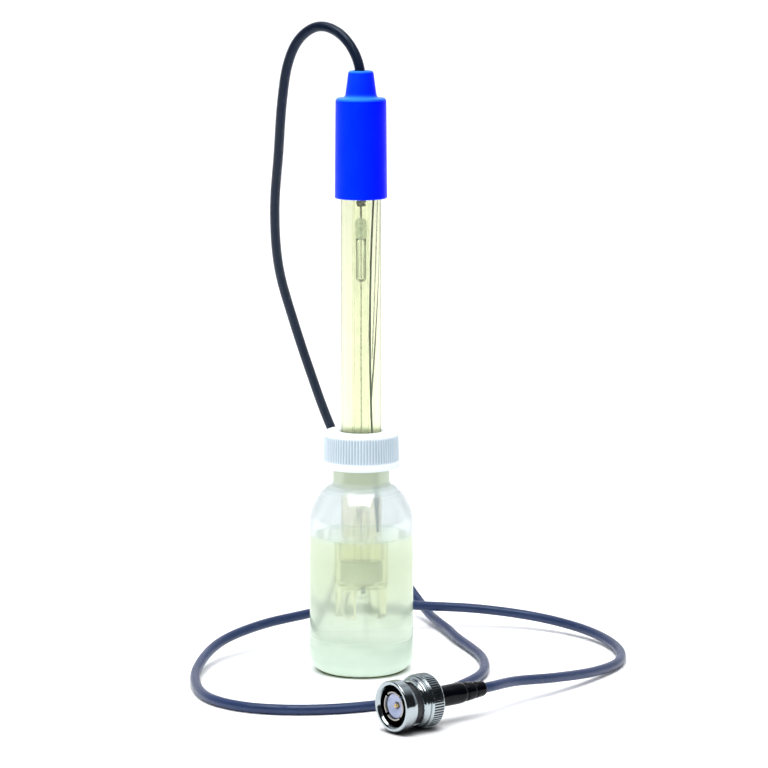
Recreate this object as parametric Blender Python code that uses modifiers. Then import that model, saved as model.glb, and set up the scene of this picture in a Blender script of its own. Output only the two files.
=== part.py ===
"""Combination pH electrode standing in its storage bottle, with its coaxial lead and bayonet plug.

Frame: metres, +Z up. The origin is the centre of the bottle's foot, on the bench. The probe's axis
is +Z. The lead leaves the probe's cap at the top, falls behind the bottle (+Y), makes one loop on
the bench and ends in the plug, in front of the bottle (-Y).

Sizes are in millimetres and angles in degrees. Profiles are tables of (radius, height).
"""

import math

import bmesh
import bpy
from mathutils import Matrix, Vector

MM = 0.001

# ---------------------------------------------------------------- driving dimensions
PROBE_R = 6.0            # outer tube
PROBE_BORE_R = 4.55
PROBE_TIP_Z = 17.0       # tips of the bulb guard
PROBE_TOP_Z = 156.0      # tube end, inside the cap
GUARD_SLOT_TOP_Z = 27.4
GUARD_SLOT_W = 6.0
GUARD_TURN = -118.0      # direction of the first prong

CAP_BOTTOM_Z = 144.4     # blue probe cap
CAP_SHOULDER_Z = 174.5
CAP_TOP_Z = 182.5

STEM_R = 2.0
STEM_BORE_R = 1.5
BULB_R = 2.05
BULB_WALL = 0.3
BULB_Z = 24.6
FRIT_XY = (0.5, -3.25)   # axis of the ceramic junction

BOTTLE_R = 15.75
BOTTLE_WALL = 1.1
FOOT_ROUND_R = 4.6       # rounding between the bottle's side and its foot
NECK_R = 8.6
NECK_BORE_R = 7.2
NECK_TOP_Z = 70.1
NECK_FOOT_Z = 57.7
SHOULDER_FOOT_Z = 47.0
LIQUID_Z = 41.6
LIQUID_GAP = 0.3         # between the solution and the bottle's wall

LID_R = 11.35            # nominal; the ribs' crests stand slightly proud
LID_FOOT_R = 11.75
LID_Z0 = 62.8
LID_Z1 = 74.0
LID_RIBS = 48
THREAD_PITCH = 3.175     # 8 threads per inch, as on a 20-400 finish
NECK_THREAD_Z = 62.6     # where the neck's thread starts

CABLE_R = 1.5

PLUG_ORIGIN = Vector((8.3, -79.0, 7.9))  # centre of the sleeve's front face
PLUG_HEADING = math.radians(51.0)        # from +Y towards +X, front to rear
KNURL_R = 7.8
KNURL_TEETH = 48

# Stations (x, y, z) of the lead's centre line, from inside the probe's cap towards the plug.
CABLE_ROUTE = [
    (0, 0, 166), (0, 0, 174), (0, 0, 181), (-0.6, 0.4, 184.6), (-2.7, 1.9, 189.3),
    (-6.7, 4.6, 193.7), (-12.6, 8, 195.5), (-18.5, 12, 191.5), (-22, 16, 184), (-24, 21, 172),
    (-25.3, 28, 156), (-26.8, 36.3, 137), (-25.8, 43.8, 118.4), (-21.5, 51, 100.9),
    (-16, 57.5, 82.6), (-10.9, 63.2, 67.2), (-4.95, 69, 52.6), (1.1, 74, 37.8), (6.5, 77.5, 25.2),
    (11.5, 78, 15.4), (15.9, 75, 9), (19.3, 70, 5.2), (22, 62.5, 3.1), (24.8, 54, 2.4),
    (27.6, 44.5, 2.1), (30.2, 33.5, 1.9), (33.9, 22, 1.6), (37.3, 7, 1.55), (36.6, -12, 1.55),
    (30, -27, 1.55), (19, -42, 1.55), (4, -52, 1.55), (-14, -57, 1.55), (-32, -54.5, 1.55),
    (-44, -44, 1.55), (-49.5, -25, 1.7), (-49, -5, 3.2), (-43, 13, 5.8), (-31, 26, 8),
    (-17, 35.5, 9.2), (0, 47, 10.6), (18, 54, 7.8), (38, 57, 6), (57, 52.5, 4.2), (72, 39, 2.8),
    (79.8, 20, 1.8), (79, 2, 1.6), (70.5, -14.5, 2.5), (57, -32, 4.8), (44.5, -45, 6.9),
]
LEAD_END = (37.0, 31.0, 25.6)   # the lead's last stations, behind the plug's front face
CABLE_SPACING = 6.0

for old in list(bpy.data.objects):
    bpy.data.objects.remove(old, do_unlink=True)

parts = bpy.data.collections.new("ph_electrode")
cutters = bpy.data.collections.new("cutters")
bpy.context.scene.collection.children.link(parts)
bpy.context.scene.collection.children.link(cutters)


# ---------------------------------------------------------------- materials
def material(name, rgb, roughness, metallic=0.0, transmission=0.0, ior=1.45):
    made = bpy.data.materials.new(name)
    made.use_nodes = True
    inputs = made.node_tree.nodes["Principled BSDF"].inputs
    inputs["Base Color"].default_value = (*rgb, 1.0)
    inputs["Roughness"].default_value = roughness
    inputs["Metallic"].default_value = metallic
    inputs["Transmission Weight"].default_value = transmission
    inputs["IOR"].default_value = ior
    return made


BLUE = material("blue_plastic", rgb=(0.02, 0.08, 0.85), roughness=0.35)
CLEAR = material(
    "clear_plastic", rgb=(0.95, 0.97, 0.80), roughness=0.08, transmission=0.9, ior=1.5
)
GLASS = material("glass", rgb=(0.95, 0.98, 0.97), roughness=0.03, transmission=0.95)
GEL = material(
    "reference_gel", rgb=(0.95, 0.96, 0.70), roughness=0.15, transmission=0.85, ior=1.36
)
LIQUID = material(
    "storage_solution", rgb=(0.93, 0.96, 0.78), roughness=0.05, transmission=0.9, ior=1.33
)
MILKY = material("milky_polythene", rgb=(0.86, 0.93, 0.90), roughness=0.4, transmission=0.6)
WHITE = material("white_plastic", rgb=(0.88, 0.91, 0.93), roughness=0.4)
SILVER = material("silver", rgb=(0.75, 0.75, 0.73), roughness=0.3, metallic=1.0)
CHLORIDE = material("silver_chloride", rgb=(0.16, 0.20, 0.17), roughness=0.6, metallic=0.3)
CERAMIC = material("ceramic", rgb=(0.80, 0.82, 0.76), roughness=0.7)
EPOXY = material("epoxy", rgb=(0.45, 0.50, 0.42), roughness=0.5)
RUBBER = material("black_rubber", rgb=(0.02, 0.02, 0.025), roughness=0.6)
SLATE = material("slate_pvc", rgb=(0.055, 0.08, 0.13), roughness=0.4)
NICKEL = material("nickel", rgb=(0.72, 0.72, 0.70), roughness=0.18, metallic=1.0)
GOLD = material("gold", rgb=(0.95, 0.72, 0.28), roughness=0.2, metallic=1.0)
PTFE = material("ptfe", rgb=(0.80, 0.86, 0.93), roughness=0.4)
COPPER = material("copper", rgb=(0.80, 0.45, 0.28), roughness=0.3, metallic=1.0)


# ---------------------------------------------------------------- object helpers
def place(name, data, mat=None, parent=None):
    """Makes an object: a part if it has a material, otherwise a hidden cutter."""
    obj = bpy.data.objects.new(name, data)
    obj.parent = parent
    if mat is None:
        cutters.objects.link(obj)
        obj.hide_render = True
        obj.display_type = "WIRE"
    else:
        parts.objects.link(obj)
        data.materials.append(mat)
    return obj


def mesh_from(bm, name):
    mesh = bpy.data.meshes.new(name)
    bm.to_mesh(mesh)
    bm.free()
    return mesh


def lathe(name, profile, mat=None, *, steps, parent=None):
    """Turns a closed profile about Z. Its outer side runs from top to bottom."""
    bm = bmesh.new()
    verts = [bm.verts.new((r * MM, 0, z * MM)) for r, z in profile]
    for a, b in zip(verts, verts[1:] + verts[:1]):
        if a.co.x > 1e-7 or b.co.x > 1e-7:      # no edge along the axis
            bm.edges.new((a, b))
    obj = place(name, mesh_from(bm, name), mat, parent)
    turn = obj.modifiers.new("Turn", "SCREW")
    turn.axis = "Z"
    turn.angle = math.radians(360)
    turn.steps = turn.render_steps = steps
    turn.use_merge_vertices = True
    turn.merge_threshold = 0.00001
    turn.use_smooth_shade = True
    return obj


def rod(name, radius, z0, z1, mat=None, *, sides, x=0.0, y=0.0, parent=None):
    """A plain upright cylinder between two heights."""
    bm = bmesh.new()
    bmesh.ops.create_cone(
        bm,
        cap_ends=True,
        segments=sides,
        radius1=radius * MM,
        radius2=radius * MM,
        depth=(z1 - z0) * MM,
    )
    bmesh.ops.translate(bm, verts=bm.verts, vec=(x * MM, y * MM, (z0 + z1) / 2 * MM))
    mesh = mesh_from(bm, name)
    mesh.shade_smooth()
    mesh.set_sharp_from_angle(angle=math.radians(35.0))
    return place(name, mesh, mat, parent)


def block_cutter(name, size, centre, turn, parent=None):
    """A box of the given size and centre, then turned about the Z axis."""
    bm = bmesh.new()
    bmesh.ops.create_cube(bm, size=1.0)
    bmesh.ops.scale(bm, verts=bm.verts, vec=[s * MM for s in size])
    bmesh.ops.translate(bm, verts=bm.verts, vec=[c * MM for c in centre])
    rotation = Matrix.Rotation(math.radians(turn), 3, "Z")
    bmesh.ops.rotate(bm, verts=bm.verts, matrix=rotation)
    return place(name, mesh_from(bm, name), parent=parent)


def poly_curve(name, dimensions, points):
    """A curve with one straight-segment spline through (x, y, z)."""
    curve = bpy.data.curves.new(name, "CURVE")
    curve.dimensions = dimensions
    spline = curve.splines.new("POLY")
    spline.points.add(len(points) - 1)
    for point, (x, y, z) in zip(spline.points, points):
        point.co = (x * MM, y * MM, z * MM, 1.0)
    return curve, spline


def wire(name, points, radius, mat=None, resolution=2, parent=None):
    """A round wire through the points."""
    curve, spline = poly_curve(name, "3D", points)
    curve.bevel_depth = radius * MM
    curve.bevel_resolution = resolution
    curve.use_fill_caps = True
    spline.use_smooth = True
    return place(name, curve, mat, parent)


def to_mesh(obj):
    """Replaces a curve cutter with a closed mesh object of the same name, fit for a boolean."""
    bpy.context.view_layer.update()
    graph = bpy.context.evaluated_depsgraph_get()
    mesh = bpy.data.meshes.new_from_object(obj.evaluated_get(graph))
    bm = bmesh.new()
    bm.from_mesh(mesh)
    bmesh.ops.remove_doubles(bm, verts=bm.verts, dist=0.000002)
    bmesh.ops.recalc_face_normals(bm, faces=bm.faces)
    bm.to_mesh(mesh)
    bm.free()
    name, world, parent = obj.name, obj.matrix_world.copy(), obj.parent
    bpy.data.objects.remove(obj, do_unlink=True)
    made = place(name, mesh, parent=parent)
    made.matrix_world = world
    return made


def path_cutter(name, points, radius, parent=None):
    """A round bar along the points, to cut or to join."""
    return to_mesh(wire(name, points, radius, resolution=1, parent=parent))


def toothed_cutter(name, count, root_r, crest_r, z0, z1, parent=None):
    """A solid disc with teeth round its rim, between two heights."""
    points = []
    tooth = 2 * math.pi / count
    for i in range(count):
        for offset, r in ((-0.25, root_r), (0.25, crest_r)):
            angle = (i + offset) * tooth
            points.append((r * math.cos(angle), r * math.sin(angle), 0.0))
    curve, spline = poly_curve(name, "2D", points)
    curve.fill_mode = "BOTH"
    curve.extrude = (z1 - z0) / 2 * MM
    spline.use_cyclic_u = True
    obj = place(name, curve, parent=parent)
    obj.location = (0, 0, (z0 + z1) / 2 * MM)
    return to_mesh(obj)


def boolean(obj, other, operation="DIFFERENCE"):
    modifier = obj.modifiers.new(operation.title(), "BOOLEAN")
    modifier.operation = operation
    modifier.solver = "EXACT"
    modifier.object = other


# ---------------------------------------------------------------- profile and path helpers
def arc(centre_r, centre_z, radius, start, end, segments):
    """Profile points on an arc, angles from +r towards +z."""
    angles = [math.radians(start + (end - start) * i / segments) for i in range(segments + 1)]
    return [(centre_r + radius * math.cos(a), centre_z + radius * math.sin(a)) for a in angles]


def round_section(centre_r, centre_z, radius, sides):
    """A closed round section, its first point outermost."""
    return arc(centre_r, centre_z, radius, 0, 360 - 360 / sides, sides - 1)


def band(inner_r, outer_r, z0, z1):
    """A rectangular section, its outer side running upwards."""
    return [(inner_r, z0), (outer_r, z0), (outer_r, z1), (inner_r, z1)]


def thread_ridge(name, radius, z0, turns, ridge_r):
    """A round ridge along a helix of the thread's pitch."""
    count = round(20 * turns)
    points = []
    for i in range(count + 1):
        angle = 2 * math.pi * turns * i / count
        z = z0 + THREAD_PITCH * turns * i / count
        points.append((radius * math.cos(angle), radius * math.sin(angle), z))
    return path_cutter(name, points, ridge_r)


def bowed(foot, middle, top, z0, z1, segments=10):
    """A slightly bowed wire: a quadratic through three (x, y) places at even heights."""
    points = []
    for i in range(segments + 1):
        t = i / segments
        weights = ((1 - t) * (1 - 2 * t), 4 * t * (1 - t), t * (2 * t - 1))
        x, y = (sum(w * c for w, c in zip(weights, axis)) for axis in zip(foot, middle, top))
        points.append((x, y, z0 + (z1 - z0) * t))
    return points


def blend(start, end, t0, t1, t):
    return start * ((t1 - t) / (t1 - t0)) + end * ((t - t0) / (t1 - t0))


def spline_through(stations, spacing):
    """Centripetal Catmull-Rom through the stations, resampled to a nearly even spacing."""
    p = [Vector(station) for station in stations]
    p = [p[0] * 2 - p[1]] + p + [p[-1] * 2 - p[-2]]
    dense = []
    for i in range(1, len(p) - 2):
        p0, p1, p2, p3 = p[i - 1 : i + 3]
        t0 = 0.0
        t1 = t0 + math.sqrt((p1 - p0).length)
        t2 = t1 + math.sqrt((p2 - p1).length)
        t3 = t2 + math.sqrt((p3 - p2).length)
        for k in range(24):
            t = t1 + (t2 - t1) * k / 24
            a1 = blend(p0, p1, t0, t1, t)
            a2 = blend(p1, p2, t1, t2, t)
            a3 = blend(p2, p3, t2, t3, t)
            b1 = blend(a1, a2, t0, t2, t)
            b2 = blend(a2, a3, t1, t3, t)
            dense.append(blend(b1, b2, t1, t2, t))
    dense.append(p[-2])
    even, run = [dense[0]], 0.0
    for a, b in zip(dense, dense[1:]):
        run += (b - a).length
        if run >= spacing:
            even.append(b)
            run = 0.0
    # the last point lands on the end, without a very short last step
    if (even[-1] - dense[-1]).length < spacing * 0.4:
        even[-1] = dense[-1]
    else:
        even.append(dense[-1])
    return even


# ---------------------------------------------------------------- storage bottle
def shoulder(inset, segments):
    """The shoulder from neck to body, a soft super-ellipse, offset inwards by the inset."""
    top_r = NECK_R + 0.55
    width = BOTTLE_R - top_r
    height = NECK_FOOT_Z - 0.5 - SHOULDER_FOOT_Z
    exponent = 2 / 1.5
    points = []
    for i in range(segments + 1):
        t = math.pi / 2 * i / segments
        r = top_r + width * math.sin(t) ** exponent - inset
        z = SHOULDER_FOOT_Z + height * math.cos(t) ** exponent - inset * math.cos(t)
        points.append((r, z))
    return points


def add_bottle():
    foot_r = BOTTLE_R - FOOT_ROUND_R
    lip_r = 8.0              # recess inside the mouth
    outer = [
        (NECK_R, NECK_TOP_Z), (NECK_R, NECK_FOOT_Z + 1.0),
        *shoulder(0.0, 7),
        *arc(foot_r, FOOT_ROUND_R, FOOT_ROUND_R, 0, -90, 5),
        (0.0, 0.0),
    ]
    inner = [
        (0.0, BOTTLE_WALL),
        *arc(foot_r, FOOT_ROUND_R, FOOT_ROUND_R - BOTTLE_WALL, -90, 0, 4),
        *reversed(shoulder(BOTTLE_WALL, 6)),
        (NECK_BORE_R, NECK_FOOT_Z - 0.2), (NECK_BORE_R, 68.6), (lip_r, 69.0), (lip_r, NECK_TOP_Z),
    ]
    bottle = lathe("bottle", outer + inner, MILKY, steps=28)
    boolean(bottle, thread_ridge("neck_thread", 8.75, NECK_THREAD_Z, 1.25, 0.8), "UNION")


def add_solution():
    """The solution leaves a well round the probe."""
    well_r = PROBE_R + 0.4
    well_z = 6.5
    inset = BOTTLE_WALL + LIQUID_GAP
    profile = [
        (well_r, LIQUID_Z), (BOTTLE_R - inset, LIQUID_Z),
        *arc(BOTTLE_R - FOOT_ROUND_R, FOOT_ROUND_R + LIQUID_GAP, FOOT_ROUND_R - inset, 0, -90, 4),
        (0.0, inset + LIQUID_GAP), (0.0, well_z), (well_r, well_z),
    ]
    lathe("storage_solution", profile, LIQUID, steps=28)


# ---------------------------------------------------------------- screw lid and its seals
def add_lid():
    edge_r = 1.3             # rounding of the top edge
    wall_r = LID_R - 0.7     # wall between the ribs
    profile = [
        (0.0, LID_Z1), (LID_R - 1.5, LID_Z1),
        *arc(LID_R - 1.5, LID_Z1 - edge_r, edge_r, 90, 0, 3),
        (wall_r, 71.9), (wall_r, 65.4), (LID_FOOT_R - 0.1, 64.6), (LID_FOOT_R, 64.0),
        (LID_FOOT_R, LID_Z0 + 0.4), (LID_FOOT_R - 0.4, LID_Z0), (0.0, LID_Z0),
    ]
    lid = lathe("screw_lid", profile, WHITE, steps=32)
    ribs = toothed_cutter("lid_ribs", LID_RIBS, LID_R - 0.4, LID_R + 0.15, 65.1, 72.2)
    boolean(lid, ribs, "UNION")
    hollow = band(0.0, 10.15, LID_Z0 - 1, 71.8)[::-1]
    boolean(lid, lathe("lid_hollow", hollow, steps=32))
    boolean(lid, rod("lid_hole", PROBE_R + 0.7, 60, 80, sides=32))
    # half a pitch above the neck's thread, so that the ridges interleave
    thread_z = NECK_THREAD_Z + THREAD_PITCH / 2
    boolean(lid, thread_ridge("lid_thread", 9.72, thread_z, 1.2, 0.62), "UNION")


def add_seals():
    bore_r = PROBE_R + 0.25
    washer = [(9.8, 71.5), (9.8, 70.85), (bore_r, 70.85), (bore_r, 71.5)]
    lathe("seal_washer", washer, RUBBER, steps=40)
    lathe("o_ring", round_section(6.95, 69.93, 0.7, sides=10)[::-1], RUBBER, steps=28)


# ---------------------------------------------------------------- probe: tube, stem and bulb
def add_body_tube():
    """Outer tube, its lower end slotted crosswise into the four prongs of the bulb guard."""
    profile = [
        (PROBE_R, PROBE_TOP_Z), (PROBE_R, PROBE_TIP_Z + 0.4), (PROBE_R - 0.4, PROBE_TIP_Z),
        (PROBE_BORE_R + 0.2, PROBE_TIP_Z), (PROBE_BORE_R, PROBE_TIP_Z + 0.2),
        (PROBE_BORE_R, PROBE_TOP_Z),
    ]
    tube = lathe("body_tube", profile, CLEAR, steps=40)
    reach = 10               # half the cutters' length
    arch_z = GUARD_SLOT_TOP_Z - GUARD_SLOT_W / 2
    for k in range(2):
        turn = GUARD_TURN + 45 + 90 * k
        slot_size = (2 * reach, GUARD_SLOT_W, 2 * reach)
        boolean(tube, block_cutter(f"guard_slot_{k}", slot_size, (0, 0, arch_z - reach), turn))
        # round top of the slot, laid along it
        arch = rod(f"guard_arch_{k}", GUARD_SLOT_W / 2, -reach, reach, sides=20)
        arch.data.transform(
            Matrix.Translation((0, 0, arch_z * MM))
            @ Matrix.Rotation(math.radians(turn), 4, "Z")
            @ Matrix.Rotation(math.radians(90), 4, "Y")
        )
        boolean(tube, arch)


def add_stem_and_bulb():
    top_z, foot_z = 150, 25.5
    stem = [(STEM_R, top_z), (STEM_R, foot_z), (STEM_BORE_R, foot_z), (STEM_BORE_R, top_z)]
    lathe("stem_tube", stem, GLASS, steps=24)
    mouth_z = 25.3
    inner_r = BULB_R - BULB_WALL
    bulb = [
        (1.95, mouth_z),
        *arc(0, BULB_Z, BULB_R, 14, -90, 7)[:-1],
        (0.0, BULB_Z - BULB_R), (0.0, BULB_Z - inner_r),
        *arc(0, BULB_Z, inner_r, -90, 12, 6)[1:],
        (STEM_BORE_R, mouth_z),
    ]
    lathe("ph_bulb", bulb, GLASS, steps=20)


def add_junction():
    """Annular plug below the gel, with a ceramic rod through it."""
    x, y = FRIT_XY
    inner_r = STEM_R + 0.2
    outer_r = PROBE_BORE_R - 0.25
    profile = [
        (inner_r, 34.4), (outer_r, 34.4), (outer_r, 27.6), (PROBE_BORE_R - 0.8, 26.8),
        (inner_r, 26.8),
    ]
    plug = lathe("junction_plug", profile, CERAMIC, steps=32)
    boolean(plug, rod("frit_hole", 0.75, 20, 40, sides=16, x=x, y=y))
    rod("ceramic_junction", 0.55, 24.8, 34.3, CERAMIC, sides=14, x=x, y=y)


# ---------------------------------------------------------------- probe: inner half-cell
def add_inner_half_cell():
    wire("inner_silver_wire", [(0, 0, 23.4), (0, 0, 141.5)], 0.18, SILVER)
    outer_r, inner_r, end_z = 1.05, 0.75, 120.3
    capillary = [
        (inner_r, 132.0), (outer_r, 132.0),
        *arc(0, end_z, outer_r, 0, -68, 4),
        *arc(0, end_z, inner_r, -62, 0, 3),
    ]
    lathe("wire_capillary", capillary, GLASS, steps=20)
    seal = [(1.15, 138.2), (1.2, 137.6), (1.2, 132.4), (0.4, 132.4), (0.4, 138.4), (0.6, 138.5)]
    lathe("capillary_seal", seal, EPOXY, steps=20)
    splice = [(0.0, 144.2), (0.6, 144.2), (1.05, 143.7), (1.05, 142.2), (0.6, 141.8), (0.0, 141.8)]
    lathe("wire_splice", splice, CHLORIDE, steps=16)
    wire("signal_conductor", [(0, 0, 144.5), (0, 0, 152), (0, 0, 159.3)], 0.25, COPPER)


# ---------------------------------------------------------------- probe: reference half-cell
REFERENCE_TOP = (3.34, -1.6)     # (x, y) where the reference wire leaves the gel
WIRES_TOP_Z = 149.5
CHANNELS_TOP_Z = 151.0
# (x, y) at the foot, middle and top of each wire's bow
REFERENCE_BOW = ((2.72, -2.4), (2.28, -2.5), REFERENCE_TOP)
RETURN_BOW = ((2.6, -1.2), (3.3, -0.3), (3.75, 0.4))


def add_reference_half_cell():
    """Two wires in the gel round the stem, each in its own channel."""
    # the reference wire's lower end is bent out towards the wall
    bend = [(3.58, 0.3, 48.0), (3.4, 0.0, 54.0), (3.15, -0.8, 61.0), (2.9, -1.7, 68.0)]
    bow = bowed(*REFERENCE_BOW, 75.0, WIRES_TOP_Z)
    reference = [(3.7, 0.35, 42.5)] + bend + bow
    channel = [(3.73, 0.36, 41.3)] + bend + bow[:-1] + [(3.35, -1.59, CHANNELS_TOP_Z)]
    wire("reference_wire", reference, 0.26, CHLORIDE, resolution=1)
    return_path = bowed(*RETURN_BOW, 96.0, WIRES_TOP_Z)
    wire("reference_return_wire", return_path, 0.15, SILVER, resolution=1)

    gap = 0.25               # between the gel and the glass and tube
    section = band(STEM_R + gap, PROBE_BORE_R - gap, 35.3, 146.0)[::-1]
    gel = lathe("reference_gel", section, GEL, steps=32)
    boolean(gel, path_cutter("reference_channel", channel, 0.47))
    return_channel = bowed(*RETURN_BOW, 94.5, CHANNELS_TOP_Z)
    boolean(gel, path_cutter("return_channel", return_channel, 0.42))


# ---------------------------------------------------------------- probe: blue cap and what it holds
def add_probe_cap():
    bore_r = PROBE_R + 0.3
    profile = [
        (2.4, CAP_TOP_Z), (3.0, CAP_TOP_Z),
        *arc(3.0, CAP_TOP_Z - 0.8, 0.8, 90, 10, 3),
        (4.55, CAP_SHOULDER_Z + 0.9), (4.9, CAP_SHOULDER_Z + 0.2), (5.4, CAP_SHOULDER_Z),
        *arc(6.55, CAP_SHOULDER_Z - 1.0, 1.0, 90, 0, 4),
        (7.86, CAP_BOTTOM_Z + 0.3), (7.6, CAP_BOTTOM_Z), (bore_r, CAP_BOTTOM_Z),
        (bore_r, 156.4), (5.0, 157.4), (5.0, 167.0), (1.8, 169.0), (1.95, 180.4),
    ]
    lathe("probe_cap", profile, BLUE, steps=32)


def add_cap_contents():
    x, y = REFERENCE_TOP
    potting = rod("cap_potting", 4.7, 157.6, 163.4, EPOXY, sides=28)
    boolean(potting, rod("potting_core_hole", 1.15, 150, 170, sides=16))
    boolean(potting, rod("potting_shield_hole", 0.65, 150, 170, sides=12, x=x, y=y))
    rod("cable_core_probe_end", 0.85, 159.6, 165.6, PTFE, sides=16)
    pigtail = [(x, y, 150.0), (x, y, 163.6), (2.95, -1.4, 164.6), (1.58, -0.75, 165.4)]
    wire("shield_pigtail", pigtail, 0.3, COPPER, resolution=1)


# ---------------------------------------------------------------- lead
PLUG_DIRECTION = Vector((math.sin(PLUG_HEADING), math.cos(PLUG_HEADING), 0))


def add_cable():
    lead_end = [tuple(PLUG_ORIGIN + PLUG_DIRECTION * distance) for distance in LEAD_END]
    wire("cable", spline_through(CABLE_ROUTE + lead_end, CABLE_SPACING), CABLE_R, SLATE)


# ---------------------------------------------------------------- bayonet plug
# Modelled with its axis on the local Z of plug_axis, front at 0, rear upwards.
def add_plug_axis():
    x, y = PLUG_DIRECTION.xy
    frame = Matrix(((0, y, x), (0, -x, y), (1, 0, 0)))     # local X points up
    axis = bpy.data.objects.new("plug_axis", None)
    parts.objects.link(axis)
    axis.matrix_world = Matrix.Translation(PLUG_ORIGIN * MM) @ frame.to_4x4()
    return axis


plug_axis = add_plug_axis()


def plug_lathe(name, profile, mat, steps):
    """A turned piece of the plug; the outer side of its profile runs from front to rear."""
    return lathe(name, profile[::-1], mat, steps=steps, parent=plug_axis)


def add_shell():
    profile = [
        (3.75, 0.9), (4.2, 0.9), (4.3, 1.2), (4.3, 8.2), (5.45, 8.2), (5.45, 9.3), (4.25, 9.3),
        (4.25, 13.2), (3.95, 13.2), (3.95, 14.0), (4.25, 14.0), (4.25, 15.4), (1.95, 15.4),
        (1.95, 21.5), (1.6, 21.5), (1.6, 15.0), (2.75, 14.0), (2.75, 8.6), (3.75, 8.0),
    ]
    shell = plug_lathe("plug_shell", profile, NICKEL, 28)
    for k in range(2):
        slot = block_cutter(
            f"finger_slot_{k}", (12, 0.8, 6.6), (0, 0, 3.1), 45 + 90 * k, parent=plug_axis
        )
        boolean(shell, slot)


def add_plug_core():
    """Insulator, centre contact and gasket."""
    dielectric = [
        (3.5, 7.75), (2.45, 8.35), (2.45, 13.6), (1.1, 13.6), (1.1, 2.5), (3.15, 1.6), (3.5, 1.6),
    ]
    plug_lathe("plug_dielectric", dielectric, PTFE, 28)
    pin = [
        (0.0, 1.2), (0.35, 1.35), (0.68, 2.0), (0.68, 9.0), (0.85, 9.0), (0.85, 13.4),
        (0.45, 13.4), (0.45, 11.0), (0.0, 11.0),
    ]
    plug_lathe("contact_pin", pin, GOLD, 20)
    plug_lathe("plug_gasket", round_section(4.95, 7.55, 0.42, sides=6), RUBBER, 24)


def add_lead_termination():
    """The lead's stripped end, its ferrule and its boot."""
    plug_lathe("centre_conductor", band(0.0, 0.22, 11.3, 17.6), COPPER, 10)
    core = [(0.5, 13.9), (0.9, 13.9), (0.9, 25.2), (0.0, 25.2), (0.0, 17.9), (0.5, 17.9)]
    plug_lathe("cable_core_plug_end", core, PTFE, 14)
    plug_lathe("cable_braid", band(1.1, 1.35, 15.6, 25.3), COPPER, 18)
    plug_lathe("crimp_ferrule", band(2.15, 2.5, 15.75, 22.2), NICKEL, 24)
    # black sleeve over the ferrule and the lead, in three steps
    boot = [
        (2.75, 15.8), (2.95, 15.8), (3.08, 16.1), (3.02, 25.0), (2.62, 26.4), (2.8, 26.8),
        (2.62, 29.6), (2.3, 30.3), (2.48, 30.6), (2.3, 33.9), (2.1, 34.3), (1.75, 34.3),
        (1.75, 22.8), (2.75, 22.4),
    ]
    plug_lathe("strain_boot", boot, RUBBER, 28)


def add_wave_spring():
    """Three-wave ring between the shell's flange and the thrust washer."""
    count = 36
    waves = 3
    middle_z, amplitude = 9.95, 0.3
    bm = bmesh.new()
    rings = []
    for r in (4.55, 5.5):
        ring = []
        for i in range(count):
            angle = 2 * math.pi * i / count
            z = middle_z + amplitude * math.sin(waves * angle)
            ring.append(bm.verts.new((r * MM * math.cos(angle), r * MM * math.sin(angle), z * MM)))
        rings.append(ring)
    inner, outer = rings
    for i in range(count):
        j = (i + 1) % count
        bm.faces.new((inner[i], outer[i], outer[j], inner[j]))
    spring = place("wave_spring", mesh_from(bm, "wave_spring"), NICKEL, plug_axis)
    solidify = spring.modifiers.new("Thickness", "SOLIDIFY")
    solidify.thickness = 0.25 * MM
    solidify.offset = 0.0


def add_retaining_rings():
    plug_lathe("thrust_washer", band(4.55, 5.5, 11.2, 11.6), NICKEL, 28)
    retainer = plug_lathe("retaining_ring", band(4.1, 5.15, 13.35, 13.85), NICKEL, 28)
    boolean(retainer, block_cutter("ring_gap", (6, 2.0, 4), (-5, 0, 13.6), 0, parent=plug_axis))


def lug_ramp_points(start):
    """The rising groove from the lug's entry; its last point drops into a detent."""
    radius, sweep = 6.2, math.radians(105)
    foot_z, rise, detent = 4.9, 1.9, 0.35
    segments = 9
    points = []
    for i in range(segments + 1):
        t = i / segments
        angle = start + sweep * t
        z = foot_z + rise * math.sin(math.pi / 2 * min(1, t * 1.15))
        if i == segments:
            z -= detent
        points.append((radius * math.cos(angle), radius * math.sin(angle), z))
    return points


def add_sleeve():
    profile = [
        (6.35, 0.0), (7.1, 0.0), (7.35, 0.35), (7.35, 4.0), (6.5, 4.9), (6.4, 7.4), (6.7, 8.1),
        (7.2, 8.3), (7.2, 9.0), (7.5, 9.3), (7.5, 9.5), (7.1, 9.9), (7.1, 13.1), (7.4, 13.5),
        (7.2, 13.9), (6.0, 13.9), (5.35, 13.2), (4.6, 13.2), (4.6, 11.8), (5.75, 11.8),
        (5.75, 0.9),
    ]
    sleeve = plug_lathe("bayonet_sleeve", profile, NICKEL, 32)
    knurl = toothed_cutter("knurl", KNURL_TEETH, KNURL_R - 0.4, KNURL_R, 9.65, 13.35, plug_axis)
    boolean(knurl, rod("knurl_bore", 6.7, 5, 20, sides=24, parent=plug_axis))
    boolean(sleeve, knurl, "UNION")
    for k in range(2):
        # entry channel for the socket's lug, then the ramp that draws it in
        turn = 100 + 180 * k
        channel = block_cutter(
            f"lug_channel_{k}", (2.6, 2.2, 6.0), (5.7, 0, 2.5), turn, parent=plug_axis
        )
        boolean(sleeve, channel)
        ramp = lug_ramp_points(math.radians(turn))
        boolean(sleeve, path_cutter(f"lug_ramp_{k}", ramp, 1.05, parent=plug_axis))


# ---------------------------------------------------------------- build
add_bottle()
add_solution()
add_lid()
add_seals()
add_body_tube()
add_stem_and_bulb()
add_junction()
add_inner_half_cell()
add_reference_half_cell()
add_probe_cap()
add_cap_contents()
add_cable()
add_shell()
add_plug_core()
add_lead_termination()
add_wave_spring()
add_retaining_rings()
add_sleeve()
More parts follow.
